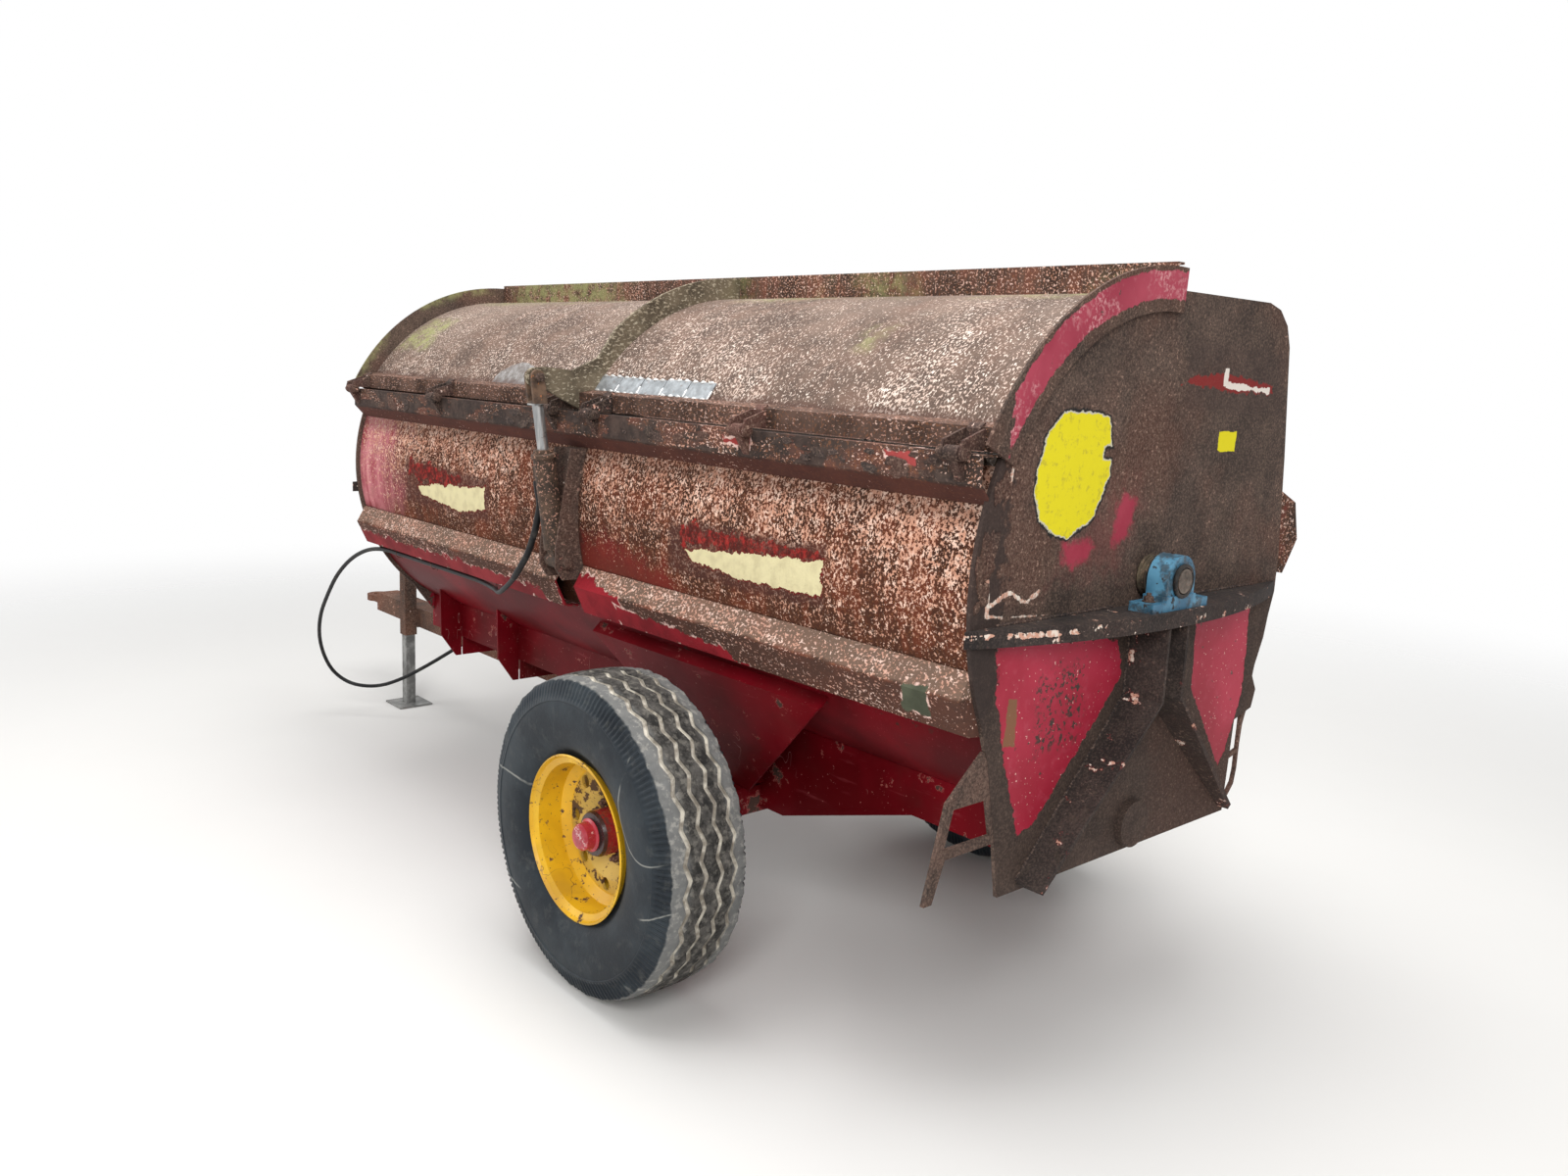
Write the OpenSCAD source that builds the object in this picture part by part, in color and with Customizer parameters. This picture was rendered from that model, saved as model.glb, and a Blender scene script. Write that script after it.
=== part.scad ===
// Side-discharge rotary manure spreader with one axle, lid closed, parked on its drawbar jack.
// X runs from the towing eye to the rear, Y from the machine's left to its right, Z up from the ground.
// Places along the machine are given from the axle, and placed() moves them into the frame.

/* [Wheels] */
// radius of a tyre over its tread
tyre_r = 483; // [460:1:500]
// width of a tyre
tyre_w = 304; // [280:1:320]
// radius of the rim's flange
rim_r = 248; // [235:1:255]
// from the machine's middle to the middle of a tyre
track_half = 898; // [890:1:930]

/* [Barrel] */
// axle to the outer face of the front end plate
body_front = 2300; // [2200:10:2500]
// axle to the outer face of the rear end plate
body_rear = 1146; // [1100:1:1250]
// outer radius of the barrel
barrel_r = 700; // [680:1:710]
// height of the rotor's axis, which is the barrel's too
rotor_z = 1365; // [1360:1:1400]
// thickness of the barrel's and lid's sheet
sheet_t = 6; // [5:0.5:8]
// thickness of the end plates
plate_t = 12; // [10:1:15]

/* [Lid] */
// gap between the end plates' round edge and the lid's sheet
lid_gap = 7; // [6:1:10]
// height of the upstand along the lid's free edge
ridge_h = 84; // [70:1:95]
// radial depth of the lid's arm and end bands over the sheet
band_h = 72; // [60:1:80]
// thickness of the lid's arm
arm_t = 16; // [12:1:20]
// axle to the plane of the lid's arm and ram, forwards
ram_x = 585; // [560:5:640]

/* [Ram] */
// outer radius of the ram's barrel
ram_r = 36; // [32:1:38]
// radius of the ram's rod
rod_r = 18; // [15:1:20]
// radius of the ram's pins
ram_pin_r = 12; // [10:1:13]

/* [Rotor] */
// radius of the rotor's tube
shaft_r = 62; // [55:1:70]
// radius of the shaft's ends in the bearings
journal_r = 32; // [30:1:34]
// number of flail chains
chains = 14; // [10:1:16]
// number of links in a chain
links = 4; // [3:1:4]
// pitch of the links
link_pitch = 100; // [90:1:104]

/* [Chassis] */
// from the machine's middle to the outer face of a chassis rail
rail_y = 360; // [350:1:370]
// thickness of the chassis plates
chassis_t = 8; // [6:1:10]
// side of the square axle beam
axle_w = 90; // [80:1:100]

/* [Drawbar] */
// axle to the front of the towing eye
eye_reach = 3800; // [3700:10:3900]
// radius of the towing eye's bore
eye_bore_r = 26; // [20:1:30]
// height of the middle of the drawbar
bar_z = 470; // [460:1:480]
// height of the drawbar's channel
bar_h = 100; // [90:1:110]
// width of the drawbar's channel
bar_w = 120; // [110:1:130]
// axle to the parking jack
jack_x = 3130; // [3050:10:3200]

/* [Hidden] */
$fn = 64;
weld = 0.4;                         // air left where one curved face lies against another
run = 6;                            // air round pieces that move
lid_r = barrel_r + 15 + lid_gap;    // inner radius of the lid's sheet
end_r = barrel_r + 15;              // radius of the end plates' round edge
rear_reach = body_rear + 126;       // axle to the rear edge of the bearing shelf
axle_x = (eye_reach - rear_reach) / 2;
front_in = -body_front + plate_t;   // inner faces of the end plates
rear_in = body_rear - plate_t;
rail_top = rotor_z + 325;           // top of the rail that carries the lid
rail_out = barrel_r + 14;           // outer face of the side rails
low_z = rotor_z - 247;              // ridge of the lower side rails
hinge_tube_r = 18;
hinge_pin_r = 9;
hinge_y = -rail_out - 26;            // the lid's pins lie outboard of the rail, level with its top
hinge_z = rail_top;
hinge_at = [-body_front + 40, -1500, -660, -415, 330, body_rear - 60];
hinge_len = 44;
foot_y = -barrel_r - 48;            // ram's pin in its post
foot_z = rotor_z - 165;
eye_y = foot_y - 89;                // ram's pin at the lid's arm
eye_z = rotor_z + 430;
ram_len = norm([eye_y - foot_y, eye_z - foot_z]);
ram_tilt = atan2(foot_y - eye_y, eye_z - foot_z);
block_h = 76;                       // height of a bearing block's bore
shelf_z = rotor_z - block_h;
shelf_t = 8;
shelf_lip = 42;
shelf_half = 730;
shelf_d = rear_reach - body_rear;
shelf_r = (shelf_half * shelf_half + shelf_d * shelf_d) / (2 * shelf_d);
axle_top = tyre_r + axle_w / 2;
rail_low = 615;                     // lower edge of the chassis rails
post_w = 104;
stroke = 115;
fork = 10;                          // thickness of the rod's fork plates
fork_r = 24;
fork_len = 86;
lid_face = lid_r + sheet_t + weld;  // radius on which the lid's bands, arm and edge angle lie
edge_top = rail_top + 69;           // where the angle along the hinged edge meets the lid
edge_out = -rail_out + 40;          // outer face of that angle
edge_y = -sqrt(pow(lid_face, 2) - pow(edge_top - sheet_t - rotor_z, 2)) - 1.2;
beam_half = track_half - tyre_w / 2 - 30;
bar_top = bar_z + bar_h / 2;
jack_y = -bar_w / 2 - 42;
pto_z = 790;
guard_x = -body_front - shelf_d - 14;
guard_d = 110;
elbow_x = ram_x + ram_r + 29;       // the hose leaves the ram's elbow here, along the ram
elbow_s = 262;
hose_gap = 0.45;                    // air between the elbow and the hose, so the ram can swing
hose_at = (elbow_s - hose_gap) / ram_len;
hose_r = 9;
hose_side = [-0.2, 1, 0.15];        // never along the hose, so each ring can be turned from it
hose_route = [
    [-elbow_x, foot_y + (eye_y - foot_y) * hose_at, foot_z + (eye_z - foot_z) * hose_at],
    [-650, -775, 1380], [-665, -775, 1325], [-695, -770, 1270], [-735, -770, 1200], [-790, -770, 1140],
    [-855, -760, 1090], [-945, -740, 1045], [-1050, -705, 1010], [-1175, -660, 1000], [-1330, -635, 1000],
    [-1560, -630, 1000], [-1800, -630, 1000], [-2030, -630, 1000], [-2200, -640, 1000], [-2350, -650, 975],
    [-2500, -660, 915], [-2650, -665, 820], [-2800, -655, 700], [-2945, -635, 575], [-3050, -605, 450],
    [-3105, -565, 335], [-3120, -515, 240], [-3095, -455, 180], [-3035, -395, 160], [-2960, -325, 170],
    [-2880, -245, 215], [-2800, -155, 285], [-2730, -85, 350], [-2660, -30, 410], [-2570, -5, 460],
    [-2460, 0, 490], [-2350, 0, 500]
];

function unit(v) = v / norm(v);
function left_of(a, b) = let (d = unit(b - a)) [-d[1], d[0]];
function miter(p, i, t) =
    let (n = len(p),
         n0 = left_of(p[max(i - 1, 0)], p[max(i, 1)]),
         n1 = left_of(p[min(i, n - 2)], p[min(i + 1, n - 1)]),
         m = unit(n0 + n1))
    p[i] + m * t / (m * n1);
function around(r, a) = [r * cos(a), rotor_z + r * sin(a)];
function knot(i) = hose_route[max(0, min(len(hose_route) - 1, i))];
// Catmull-Rom curve from one point of the route to the next
function between(i, t) =
    0.5 * (2 * knot(i) + (knot(i + 1) - knot(i - 1)) * t
        + (2 * knot(i - 1) - 5 * knot(i) + 4 * knot(i + 1) - knot(i + 2)) * t * t
        + (3 * knot(i) - knot(i - 1) - 3 * knot(i + 1) + knot(i + 2)) * t * t * t);
function arc(r, a0, a1, n) = [for (i = [0 : n]) around(r, a0 + (a1 - a0) * i / n)];

// moves a piece from its place by the axle into the frame
module placed() {
    translate([axle_x, 0, 0]) children();
}

// extrudes a Y-Z section along X
module along_x(x0, x1) {
    translate([x0, 0, 0]) rotate([90, 0, 90]) linear_extrude(x1 - x0) children();
}

// extrudes an X-Z section along Y
module along_y(y0, y1) {
    translate([0, y1, 0]) rotate([90, 0, 0]) linear_extrude(y1 - y0) children();
}

module rod_x(x0, x1, r) {
    translate([x0, 0, 0]) rotate([0, 90, 0]) cylinder(r = r, h = x1 - x0);
}

module rod_y(y0, y1, r) {
    translate([0, y1, 0]) rotate([90, 0, 0]) cylinder(r = r, h = y1 - y0);
}

// section of a folded sheet: a line of bends and the sheet's thickness to its left
module folded(points, t) {
    n = len(points);
    polygon(concat(points, [for (i = [n - 1 : -1 : 0]) miter(points, i, t)]));
}

// wedge of the Y-Z plane about the rotor's axis
module wedge(r, a0, a1) {
    polygon(concat([[0, rotor_z]], arc(r, a0, a1, ceil((a1 - a0) / 15))));
}

// ring about the rotor's axis between two radii and two angles
module ring_part(r0, r1, a0, a1) {
    intersection() {
        difference() {
            translate([0, rotor_z]) circle(r = r1, $fn = 180);
            translate([0, rotor_z]) circle(r = r0, $fn = 180);
        }
        wedge(1.2 * r1, a0, a1);
    }
}

// what the barrel's outside takes from a piece welded to it
module barrel_cut(x0, x1) {
    translate([0, 0, rotor_z]) rod_x(x0 - 1, x1 + 1, barrel_r + weld, $fn = 180);
}

module barrel_shell() {
    color("firebrick")
        along_x(front_in, rear_in)
            ring_part(barrel_r - sheet_t, barrel_r, -205, 19);
}

// corner of an end plate beside the mouth
module mouth_corner() {
    top = rotor_z + lid_r + 16;
    polygon([
        [46, rotor_z], [46, top], [barrel_r - 190, top], [barrel_r - 125, top - 16],
        [barrel_r - 75, top - 58], [barrel_r - 48, top - 118], [barrel_r, rotor_z + 300], [barrel_r + 35, rotor_z],
        [barrel_r + 35, rotor_z - 110], [barrel_r - 10, rotor_z - 260]
    ]);
}

// end plate: a round part, the corner beside the mouth and the foot that is given as a child
module end_plate(x0, x1) {
    difference() {
        union() {
            translate([0, 0, rotor_z]) rod_x(x0, x1, end_r, $fn = 180);
            along_x(x0, x1) mouth_corner();
            along_x(x0, x1) children();
        }
        translate([0, 0, rotor_z]) rod_x(x0 - 1, x1 + 1, journal_r + 8);
    }
}

module front_plate() {
    color("firebrick")
        end_plate(-body_front, front_in)
            polygon([[-barrel_r + 40, 1080], [-rail_y - 25, 720], [-rail_y, 690], [-rail_y, rail_low],
                [rail_y, rail_low], [rail_y, 690], [rail_y + 25, 720], [barrel_r - 40, 1080]]);
}

module rear_plate() {
    color("firebrick")
        end_plate(rear_in, body_rear)
            polygon([[-barrel_r - 6, rotor_z - 75], [-barrel_r + 32, rotor_z - 245], [-barrel_r + 90, 960],
                [-barrel_r + 140, 750], [-barrel_r + 170, 592], [barrel_r - 138, 586], [barrel_r - 124, 872],
                [barrel_r - 28, 896], [barrel_r - 12, 952], [barrel_r - 42, 998], [barrel_r - 36, 1030],
                [barrel_r, rotor_z - 250], [barrel_r + 35, rotor_z - 75]]);
    color("firebrick")
        translate([0, 35, 665]) rod_x(body_rear, body_rear + 22, 66);
}

module side_section(side) {
    if (side < 0) children();
    else mirror([1, 0]) children();
}

// folded rail along the top of a side; the left one carries the lid's hinges
module upper_rail(side) {
    difference() {
        along_x(-body_front, body_rear)
            side_section(side)
                folded([[-640, rail_top], [-rail_out, rail_top], [-rail_out, rail_top - 70],
                    [-barrel_r + 30, rail_top - 116]], sheet_t);
        barrel_cut(-body_front, body_rear);
        end_cuts();
    }
}

// the end plates' places, taken from what meets them
module end_cuts() {
    for (x = [-body_front - weld, rear_in - weld])
        translate([x, 0, rotor_z]) rotate([0, 90, 0])
            cylinder(r = end_r + weld, h = plate_t + 2 * weld, $fn = 180);
}

module left_upper_rail() {
    color("firebrick") upper_rail(-1);
}

module right_upper_rail() {
    color("firebrick")
        difference() {
            along_x(front_in, rear_in)
                mirror([1, 0])
                    folded([[-640, rotor_z + 228], [-rail_out, rotor_z + 228],
                        [-rail_out, rotor_z + 168], [-barrel_r + 20, rotor_z + 130]], sheet_t);
            barrel_cut(front_in, rear_in);
        }
}

// folded rail along the middle of a side: sloping top, face, and a flange turned in under it
module lower_rail(side) {
    outline = [[-barrel_r + 20, low_z + 66], [-rail_out - 4, low_z], [-barrel_r + 26, low_z - 92],
        [-barrel_r + 84, low_z - 98]];
    difference() {
        union() {
            along_x(front_in, rear_in) side_section(side) folded(outline, sheet_t);
            for (x = [front_in, rear_in - sheet_t])
                along_x(x, x + sheet_t) side_section(side) polygon(outline);
        }
        barrel_cut(front_in, rear_in);
    }
}

module left_lower_rail() {
    color("firebrick")
        difference() {
            lower_rail(-1);
            translate([-ram_x - post_w / 2 - 8, -900, low_z - 200]) cube([post_w + 16, 300, 400]);
        }
}

module right_lower_rail() {
    color("firebrick") lower_rail(1);
}

// folded plate beside the mouth, closed by a plate at each end
module mouth_deflector() {
    outline = [[rail_out + 3, rotor_z + 204], [rail_out + 118, rotor_z + 158],
        [rail_out + 156, rotor_z + 42], [rail_out + 84, rotor_z - 60]];
    color("firebrick") {
        along_x(front_in + weld, rear_in - weld) folded(outline, -sheet_t);
        for (x = [front_in + weld, rear_in - weld - sheet_t])
            along_x(x, x + sheet_t) polygon(concat(outline, [[rail_out + weld, rotor_z - 46]]));
    }
}

// bearing shelf with a curved edge and a lip turned down
module shelf(x_plate, outward) {
    mirror([outward < 0 ? 1 : 0, 0, 0])
        translate([x_plate, 0, shelf_z])
            difference() {
                translate([0, 0, -shelf_lip])
                    intersection() {
                        translate([shelf_d - shelf_r, 0, 0]) cylinder(r = shelf_r, h = shelf_lip, $fn = 360);
                        translate([0, -shelf_half, 0]) cube([shelf_d + 1, 2 * shelf_half, shelf_lip]);
                    }
                translate([-1, -shelf_half + shelf_t, -shelf_lip - 1])
                    intersection() {
                        translate([shelf_d - shelf_r + 1, shelf_half - shelf_t, 0])
                            cylinder(r = shelf_r - shelf_t, h = shelf_lip - shelf_t + 1, $fn = 360);
                        cube([shelf_d + 1, 2 * (shelf_half - shelf_t), shelf_lip]);
                    }
            }
}

module rear_shelf() {
    color("saddlebrown") shelf(body_rear, 1);
}

module front_shelf() {
    color("saddlebrown") shelf(body_front, -1);
}

// pillow block: long foot, round housing, bore
module pillow_block(x_mid) {
    translate([x_mid, 0, 0])
        difference() {
            union() {
                translate([-35, -132, shelf_z]) cube([70, 264, 24]);
                translate([-35, -70, shelf_z + 24]) cube([70, 140, 14]);
                translate([0, 0, rotor_z]) rod_x(-30, 30, 66);
                translate([-30, -66, shelf_z + 24]) cube([60, 132, block_h - 24]);
            }
            translate([0, 0, rotor_z]) rod_x(-40, 40, journal_r + weld);
        }
}

module rear_bearing() {
    color("steelblue") pillow_block(body_rear + 76);
}

module front_bearing() {
    color("steelblue") pillow_block(-body_front - 76);
}

// upright channel under the shelf that splits into two tapered legs
module rear_stiffener() {
    leg_top = rotor_z - 325;
    top = shelf_z - shelf_lip;
    deep = shelf_d - 10;
    // side, reach of the leg's tip, depth of the leg at its tip
    legs = [[-1, 462, 80], [1, 542, 34]];
    color("sienna") {
        for (leg = legs)
            mirror([0, leg[0] < 0 ? 1 : 0, 0]) {
                translate([body_rear, 40, leg_top]) cube([deep, 10, top - leg_top]);
                difference() {
                    along_x(body_rear, body_rear + deep)
                        polygon([[40, leg_top + 6], [50, leg_top + 6], [leg[1], 620], [leg[1] - 10, 606]]);
                    along_y(0, 600)
                        polygon([[body_rear + deep + 1, leg_top], [body_rear + deep + 1, 500],
                            [body_rear + leg[2], 500], [body_rear + leg[2], 600]]);
                }
            }
        translate([body_rear, -40, leg_top + 6]) cube([10, 80, top - leg_top - 6]);
    }
}

// brackets for a lamp board beside the rear plate: a plate with a window on the left, a bent frame on the right
module light_brackets() {
    y = barrel_r;
    color("saddlebrown")
        along_x(rear_in, body_rear)
            difference() {
                polygon([[75 - y, 985], [-y - 45, 880], [-y - 106, 640], [-y - 78, 640], [-y - 40, 742],
                    [141 - y - weld, 742], [139 - y - weld, 750], [89 - y - weld, 960]]);
                polygon([[-y - 22, 862], [100 - y, 862], [124 - y, 766], [-y - 48, 766]]);
            }
    color("saddlebrown")
        along_x(rear_in - weld - 10, rear_in - weld)
            polygon([[y - 90, 955], [y - 24, 955], [y - 28, 894], [y - 45, 842], [y - 50, 780], [y - 50, 700],
                [y - 59, 652], [y - 88, 620], [y - 98, 628], [y - 70, 660], [y - 62, 700], [y - 62, 752],
                [y - 144, 734], [y - 144, 748], [y - 62, 766], [y - 60, 884], [y - 90, 884]]);
}

// open channel that guides the ram; its sides deepen downwards to carry the ram's lower pin
module ram_post() {
    top = rail_top - 120;
    color("saddlebrown")
        difference() {
            translate([-ram_x, 0, 0]) {
                for (s = [-1, 1])
                    along_x(s * (post_w / 2 - 4) - 4, s * (post_w / 2 - 4) + 4)
                        polygon([[-barrel_r + 60, top], [-barrel_r - 30, top], [foot_y - 34, foot_z + 50],
                            [foot_y - 34, foot_z - 18], [foot_y - 6, foot_z - 60], [-barrel_r + 60, foot_z - 60]]);
                translate([-post_w / 2, -barrel_r - 4, foot_z - 60]) cube([post_w, 64, top - foot_z + 60]);
                translate([0, foot_y, foot_z]) rod_x(-post_w / 2 - 10, post_w / 2 + 10, ram_pin_r);
            }
            barrel_cut(-ram_x - 100, -ram_x + 100);
        }
}

// hinge tubes outboard of the upper rail, each on a web
module hinge_tubes() {
    color("saddlebrown")
        for (x = hinge_at)
            difference() {
                union() {
                    translate([x, hinge_y, hinge_z]) rod_x(-hinge_len / 2, hinge_len / 2, hinge_tube_r);
                    along_x(x - 13, x + 13)
                        polygon([[hinge_y, hinge_z + 6], [-rail_out - weld, hinge_z - 3],
                            [-rail_out - weld, hinge_z - 66], [hinge_y - 12, hinge_z - 8]]);
                }
                translate([x, hinge_y, hinge_z]) rod_x(-hinge_len, hinge_len, hinge_pin_r + 0.8);
            }
}

module chassis_rails() {
    color("firebrick")
        for (s = [-1, 1])
            mirror([0, s < 0 ? 1 : 0, 0])
                difference() {
                    union() {
                        along_y(rail_y - chassis_t, rail_y)
                            polygon([[front_in, rail_low], [-700, rail_low], [-160, axle_top - 70],
                                [160, axle_top - 70], [700, rail_low + 15], [rear_in, rail_low + 15],
                                [rear_in, 900], [front_in, 900]]);
                        translate([front_in, rail_y - 60, rail_low])
                            cube([-700 - front_in, 60, chassis_t]);
                        translate([700, rail_y - 60, rail_low + 15])
                            cube([rear_in - 700, 60, chassis_t]);
                    }
                    barrel_cut(front_in, rear_in);
                    translate([-axle_w / 2, 0, tyre_r - axle_w / 2]) cube([axle_w, 800, axle_w]);
                }
}

// ribs that reach out from the rails to the barrel's underside, and the webs between the rails
module chassis_ribs() {
    low = rail_low - 85;
    for (x = [-body_front + 270, -body_front + 780]) {
        color("firebrick")
            for (s = [-1, 1])
                mirror([0, s < 0 ? 1 : 0, 0])
                    difference() {
                        along_x(x, x + chassis_t)
                            polygon([[rail_y, low], [rail_y + 25, low], [rail_y + 95, low + 100],
                                [rail_y + 102, rail_low + 285], [rail_y, rail_low + 285]]);
                        barrel_cut(x, x + chassis_t);
                    }
        color("firebrick")
            difference() {
                translate([x, -rail_y + chassis_t, low]) cube([chassis_t, 2 * (rail_y - chassis_t), 400]);
                barrel_cut(x, x + chassis_t);
                translate([x - 1, -bar_w / 2 - 1, bar_z - bar_h]) cube([chassis_t + 2, bar_w + 2, 1.5 * bar_h + 1]);
                for (s = [-1, 1])
                    translate([x - 1, s * (rail_y - 34) - 27, rail_low - 1]) cube([chassis_t + 2, 54, chassis_t + 2]);
            }
    }
}

// inclined plate from the axle beam up to the barrel, folded in at its top, with two webs to the rail
module axle_gusset(side) {
    foot = [rail_y + 66, axle_top + weld];
    head = [barrel_r - 84, rotor_z - 415];
    slope = (head[0] - foot[0]) / (head[1] - foot[1]);
    half = 565;
    web_z = [axle_top + 12, axle_top + 230];
    color("firebrick")
        mirror([0, side < 0 ? 1 : 0, 0])
            difference() {
                union() {
                    intersection() {
                        along_x(-half, half)
                            folded([foot, head, [head[0] - 42, head[1] + 40]], chassis_t);
                        along_y(rail_y, barrel_r)
                            polygon([[-axle_w / 2 - 20, foot[1]], [axle_w / 2 + 20, foot[1]],
                                [half - 1, head[1]], [half - 1, head[1] + 100],
                                [1 - half, head[1] + 100], [1 - half, head[1]]]);
                    }
                    for (x = [-axle_w / 2 - 12, axle_w / 2 + 4])
                        along_x(x, x + 8)
                            polygon([[rail_y + weld, web_z[0]],
                                [foot[0] - 4 + slope * (web_z[0] - foot[1]), web_z[0]],
                                [foot[0] - 4 + slope * (web_z[1] - foot[1]), web_z[1]],
                                [rail_y + weld, web_z[1]]]);
                }
                barrel_cut(-half, half);
            }
}

module axle_gusset_left() {
    axle_gusset(-1);
}

module axle_gusset_right() {
    axle_gusset(1);
}

// square tube with a turned stub at each end
module axle_beam() {
    color("firebrick") {
        difference() {
            translate([-axle_w / 2, -beam_half, tyre_r - axle_w / 2]) cube([axle_w, 2 * beam_half, axle_w]);
            translate([-axle_w / 2 + 10, -beam_half + 20, tyre_r - axle_w / 2 + 10])
                cube([axle_w - 20, 2 * beam_half - 40, axle_w - 20]);
        }
        for (s = [-1, 1])
            mirror([0, s < 0 ? 1 : 0, 0])
                translate([0, 0, tyre_r]) rod_y(beam_half, track_half + 40, 30);
    }
}

module drawbar() {
    color("sienna")
        difference() {
            translate([-eye_reach + 200, -bar_w / 2, bar_z - bar_h / 2])
                cube([eye_reach - 200 - axle_w / 2, bar_w, bar_h]);
            translate([-eye_reach + 190, -bar_w / 2 + 10, bar_z - bar_h / 2 - 1])
                cube([eye_reach, bar_w - 20, bar_h - 9]);
        }
}

module towing_eye() {
    plate = 34;
    color("dimgray")
        difference() {
            union() {
                translate([-eye_reach + 62, 0, bar_z - plate / 2]) cylinder(r = 62, h = plate);
                translate([-eye_reach + 62, -45, bar_z - plate / 2]) cube([250, 90, plate]);
                translate([-eye_reach + 180, -bar_w / 2, bar_z - bar_h / 2]) cube([20, bar_w, bar_h]);
            }
            translate([-eye_reach + 62, 0, 0]) cylinder(r = eye_bore_r, h = 2 * bar_z);
        }
}

module jack_sleeve() {
    color("sienna")
        difference() {
            union() {
                translate([-jack_x - 32, jack_y - 32, bar_z - 90]) cube([64, 64, 330]);
                translate([-jack_x - 45, jack_y + 32, bar_z - bar_h / 2]) cube([90, -jack_y - 32 - bar_w / 2, bar_h]);
            }
            translate([-jack_x - 25.8, jack_y - 25.8, bar_z - 91]) cube([51.6, 51.6, 332]);
        }
}

module jack_leg() {
    color("gray") {
        difference() {
            translate([-jack_x - 25, jack_y - 25, 6]) cube([50, 50, bar_z + 300]);
            translate([-jack_x - 20, jack_y - 20, 16]) cube([40, 40, bar_z + 300]);
        }
        translate([-jack_x - 90, jack_y - 90, 0]) cube([180, 180, 8]);
    }
}

// casing over the chain that drives the rotor from the input shaft
module drive_guard() {
    color("firebrick")
        difference() {
            union() {
                along_x(guard_x - guard_d, guard_x) guard_outline(0);
                translate([guard_x, -110, pto_z - 90]) cube([-body_front - guard_x, 220, 12]);
                translate([guard_x, -110, pto_z + 200]) cube([-body_front - guard_x, 220, 12]);
                translate([0, 0, pto_z]) rod_x(guard_x - guard_d - 30, guard_x - guard_d, 45);
                translate([guard_x - guard_d, -60, bar_top]) cube([10, 120, pto_z - 100 - bar_top]);
            }
            along_x(guard_x - guard_d + 4, guard_x - 4) guard_outline(4);
            translate([0, 0, rotor_z]) rod_x(guard_x - 6, guard_x + 6, journal_r + 6);
            translate([0, 0, pto_z]) rod_x(guard_x - guard_d - 50, guard_x - guard_d + 6, 17.5 + weld);
        }
}

module guard_outline(inset) {
    polygon([[-170 + inset, rotor_z], [170 - inset, rotor_z], [120 - inset, pto_z], [-120 + inset, pto_z]]);
    translate([0, rotor_z]) circle(r = 170 - inset);
    translate([0, pto_z]) circle(r = 120 - inset);
}

module input_shaft() {
    color("silver")
        translate([0, 0, pto_z]) {
            rod_x(guard_x - 290, guard_x - 20, 17.5);
            rod_x(guard_x - 152, guard_x - 144, 30);
        }
}

module lid_sheet() {
    color("rosybrown")
        along_x(-body_front - run, body_rear + run)
            ring_part(lid_r, lid_r + sheet_t, 90, 151);
}

module lid_ridge() {
    z0 = rotor_z + lid_r;
    color("rosybrown")
        along_x(-body_front - run, body_rear + run)
            polygon([[0.2, z0], [sheet_t, z0], [sheet_t, z0 + ridge_h - sheet_t], [30, z0 + ridge_h - sheet_t],
                [30, z0 + ridge_h], [0, z0 + ridge_h], [0, z0 + sheet_t + weld]]);
}

// angle along the lid's hinged edge
module lid_edge_bar() {
    foot = rail_top + run;
    color("rosybrown")
        along_x(-body_front - run, body_rear + run)
            folded([[edge_out + 29, foot], [edge_out, foot], [edge_out, edge_top - 9], [edge_y, edge_top]], -sheet_t);
}

module lid_end_bands() {
    t = 8;
    color("firebrick")
        for (x = [-body_front - run - weld - t, body_rear + run + weld])
            along_x(x, x + t) ring_part(end_r - 34, lid_r + band_h, 87, 154);
}

// goose-neck arm over the lid with the eye of the ram's pin
module lid_arm() {
    x0 = -ram_x - arm_t / 2;
    x1 = -ram_x + arm_t / 2;
    back = edge_out - weld;
    eye_r = ram_pin_r + 18;
    color("saddlebrown")
        difference() {
            union() {
                along_x(x0, x1)
                    polygon(concat([[eye_y, eye_z + eye_r], [eye_y + 40, eye_z + eye_r + 4], [edge_out - 24, rotor_z + 456],
                        [edge_out + 74, rotor_z + 500]],
                        arc(lid_face + band_h, 132, 91, 12),
                        [around(lid_face - 20, 91), around(lid_face - 60, 145.5)],
                        [[edge_y, edge_top + weld], [back, edge_top - 8], [back, rail_top + run + 2],
                        [eye_y + 20, eye_z - eye_r + 2], [eye_y, eye_z - eye_r]]));
                translate([0, eye_y, eye_z]) rod_x(x0, x1, eye_r);
            }
            translate([0, eye_y, eye_z]) rod_x(x0 - 1, x1 + 1, ram_pin_r + 11);
            translate([0, 0, rotor_z]) rod_x(x0 - 1, x1 + 1, lid_face, $fn = 180);
        }
}

// pairs of ears that reach over the rail's edge, with their pin, on each side of a hinge tube
module lid_hinges() {
    ear = 8;
    gap = 3;
    side = hinge_len / 2 + gap;
    color("saddlebrown")
        for (x = hinge_at)
            translate([x, 0, 0]) {
                for (s = [-side - ear, side]) {
                    along_x(s, s + ear)
                        polygon([[hinge_y - 16, hinge_z], [hinge_y + 16, hinge_z], [hinge_y + 16, rail_top + run + 2],
                            [edge_out - weld, rail_top + run + 2], [edge_out - weld, rail_top + 56],
                            [hinge_y - 8, hinge_z + 30]]);
                    translate([0, hinge_y, hinge_z]) rod_x(s, s + ear, 16);
                }
                translate([0, hinge_y, hinge_z]) rod_x(-side - ear - 6, side + ear + 6, hinge_pin_r);
            }
}

// what lies along the ram, from its lower pin at the origin up
module on_ram() {
    translate([-ram_x, foot_y, foot_z]) rotate([ram_tilt, 0, 0]) children();
}

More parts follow.
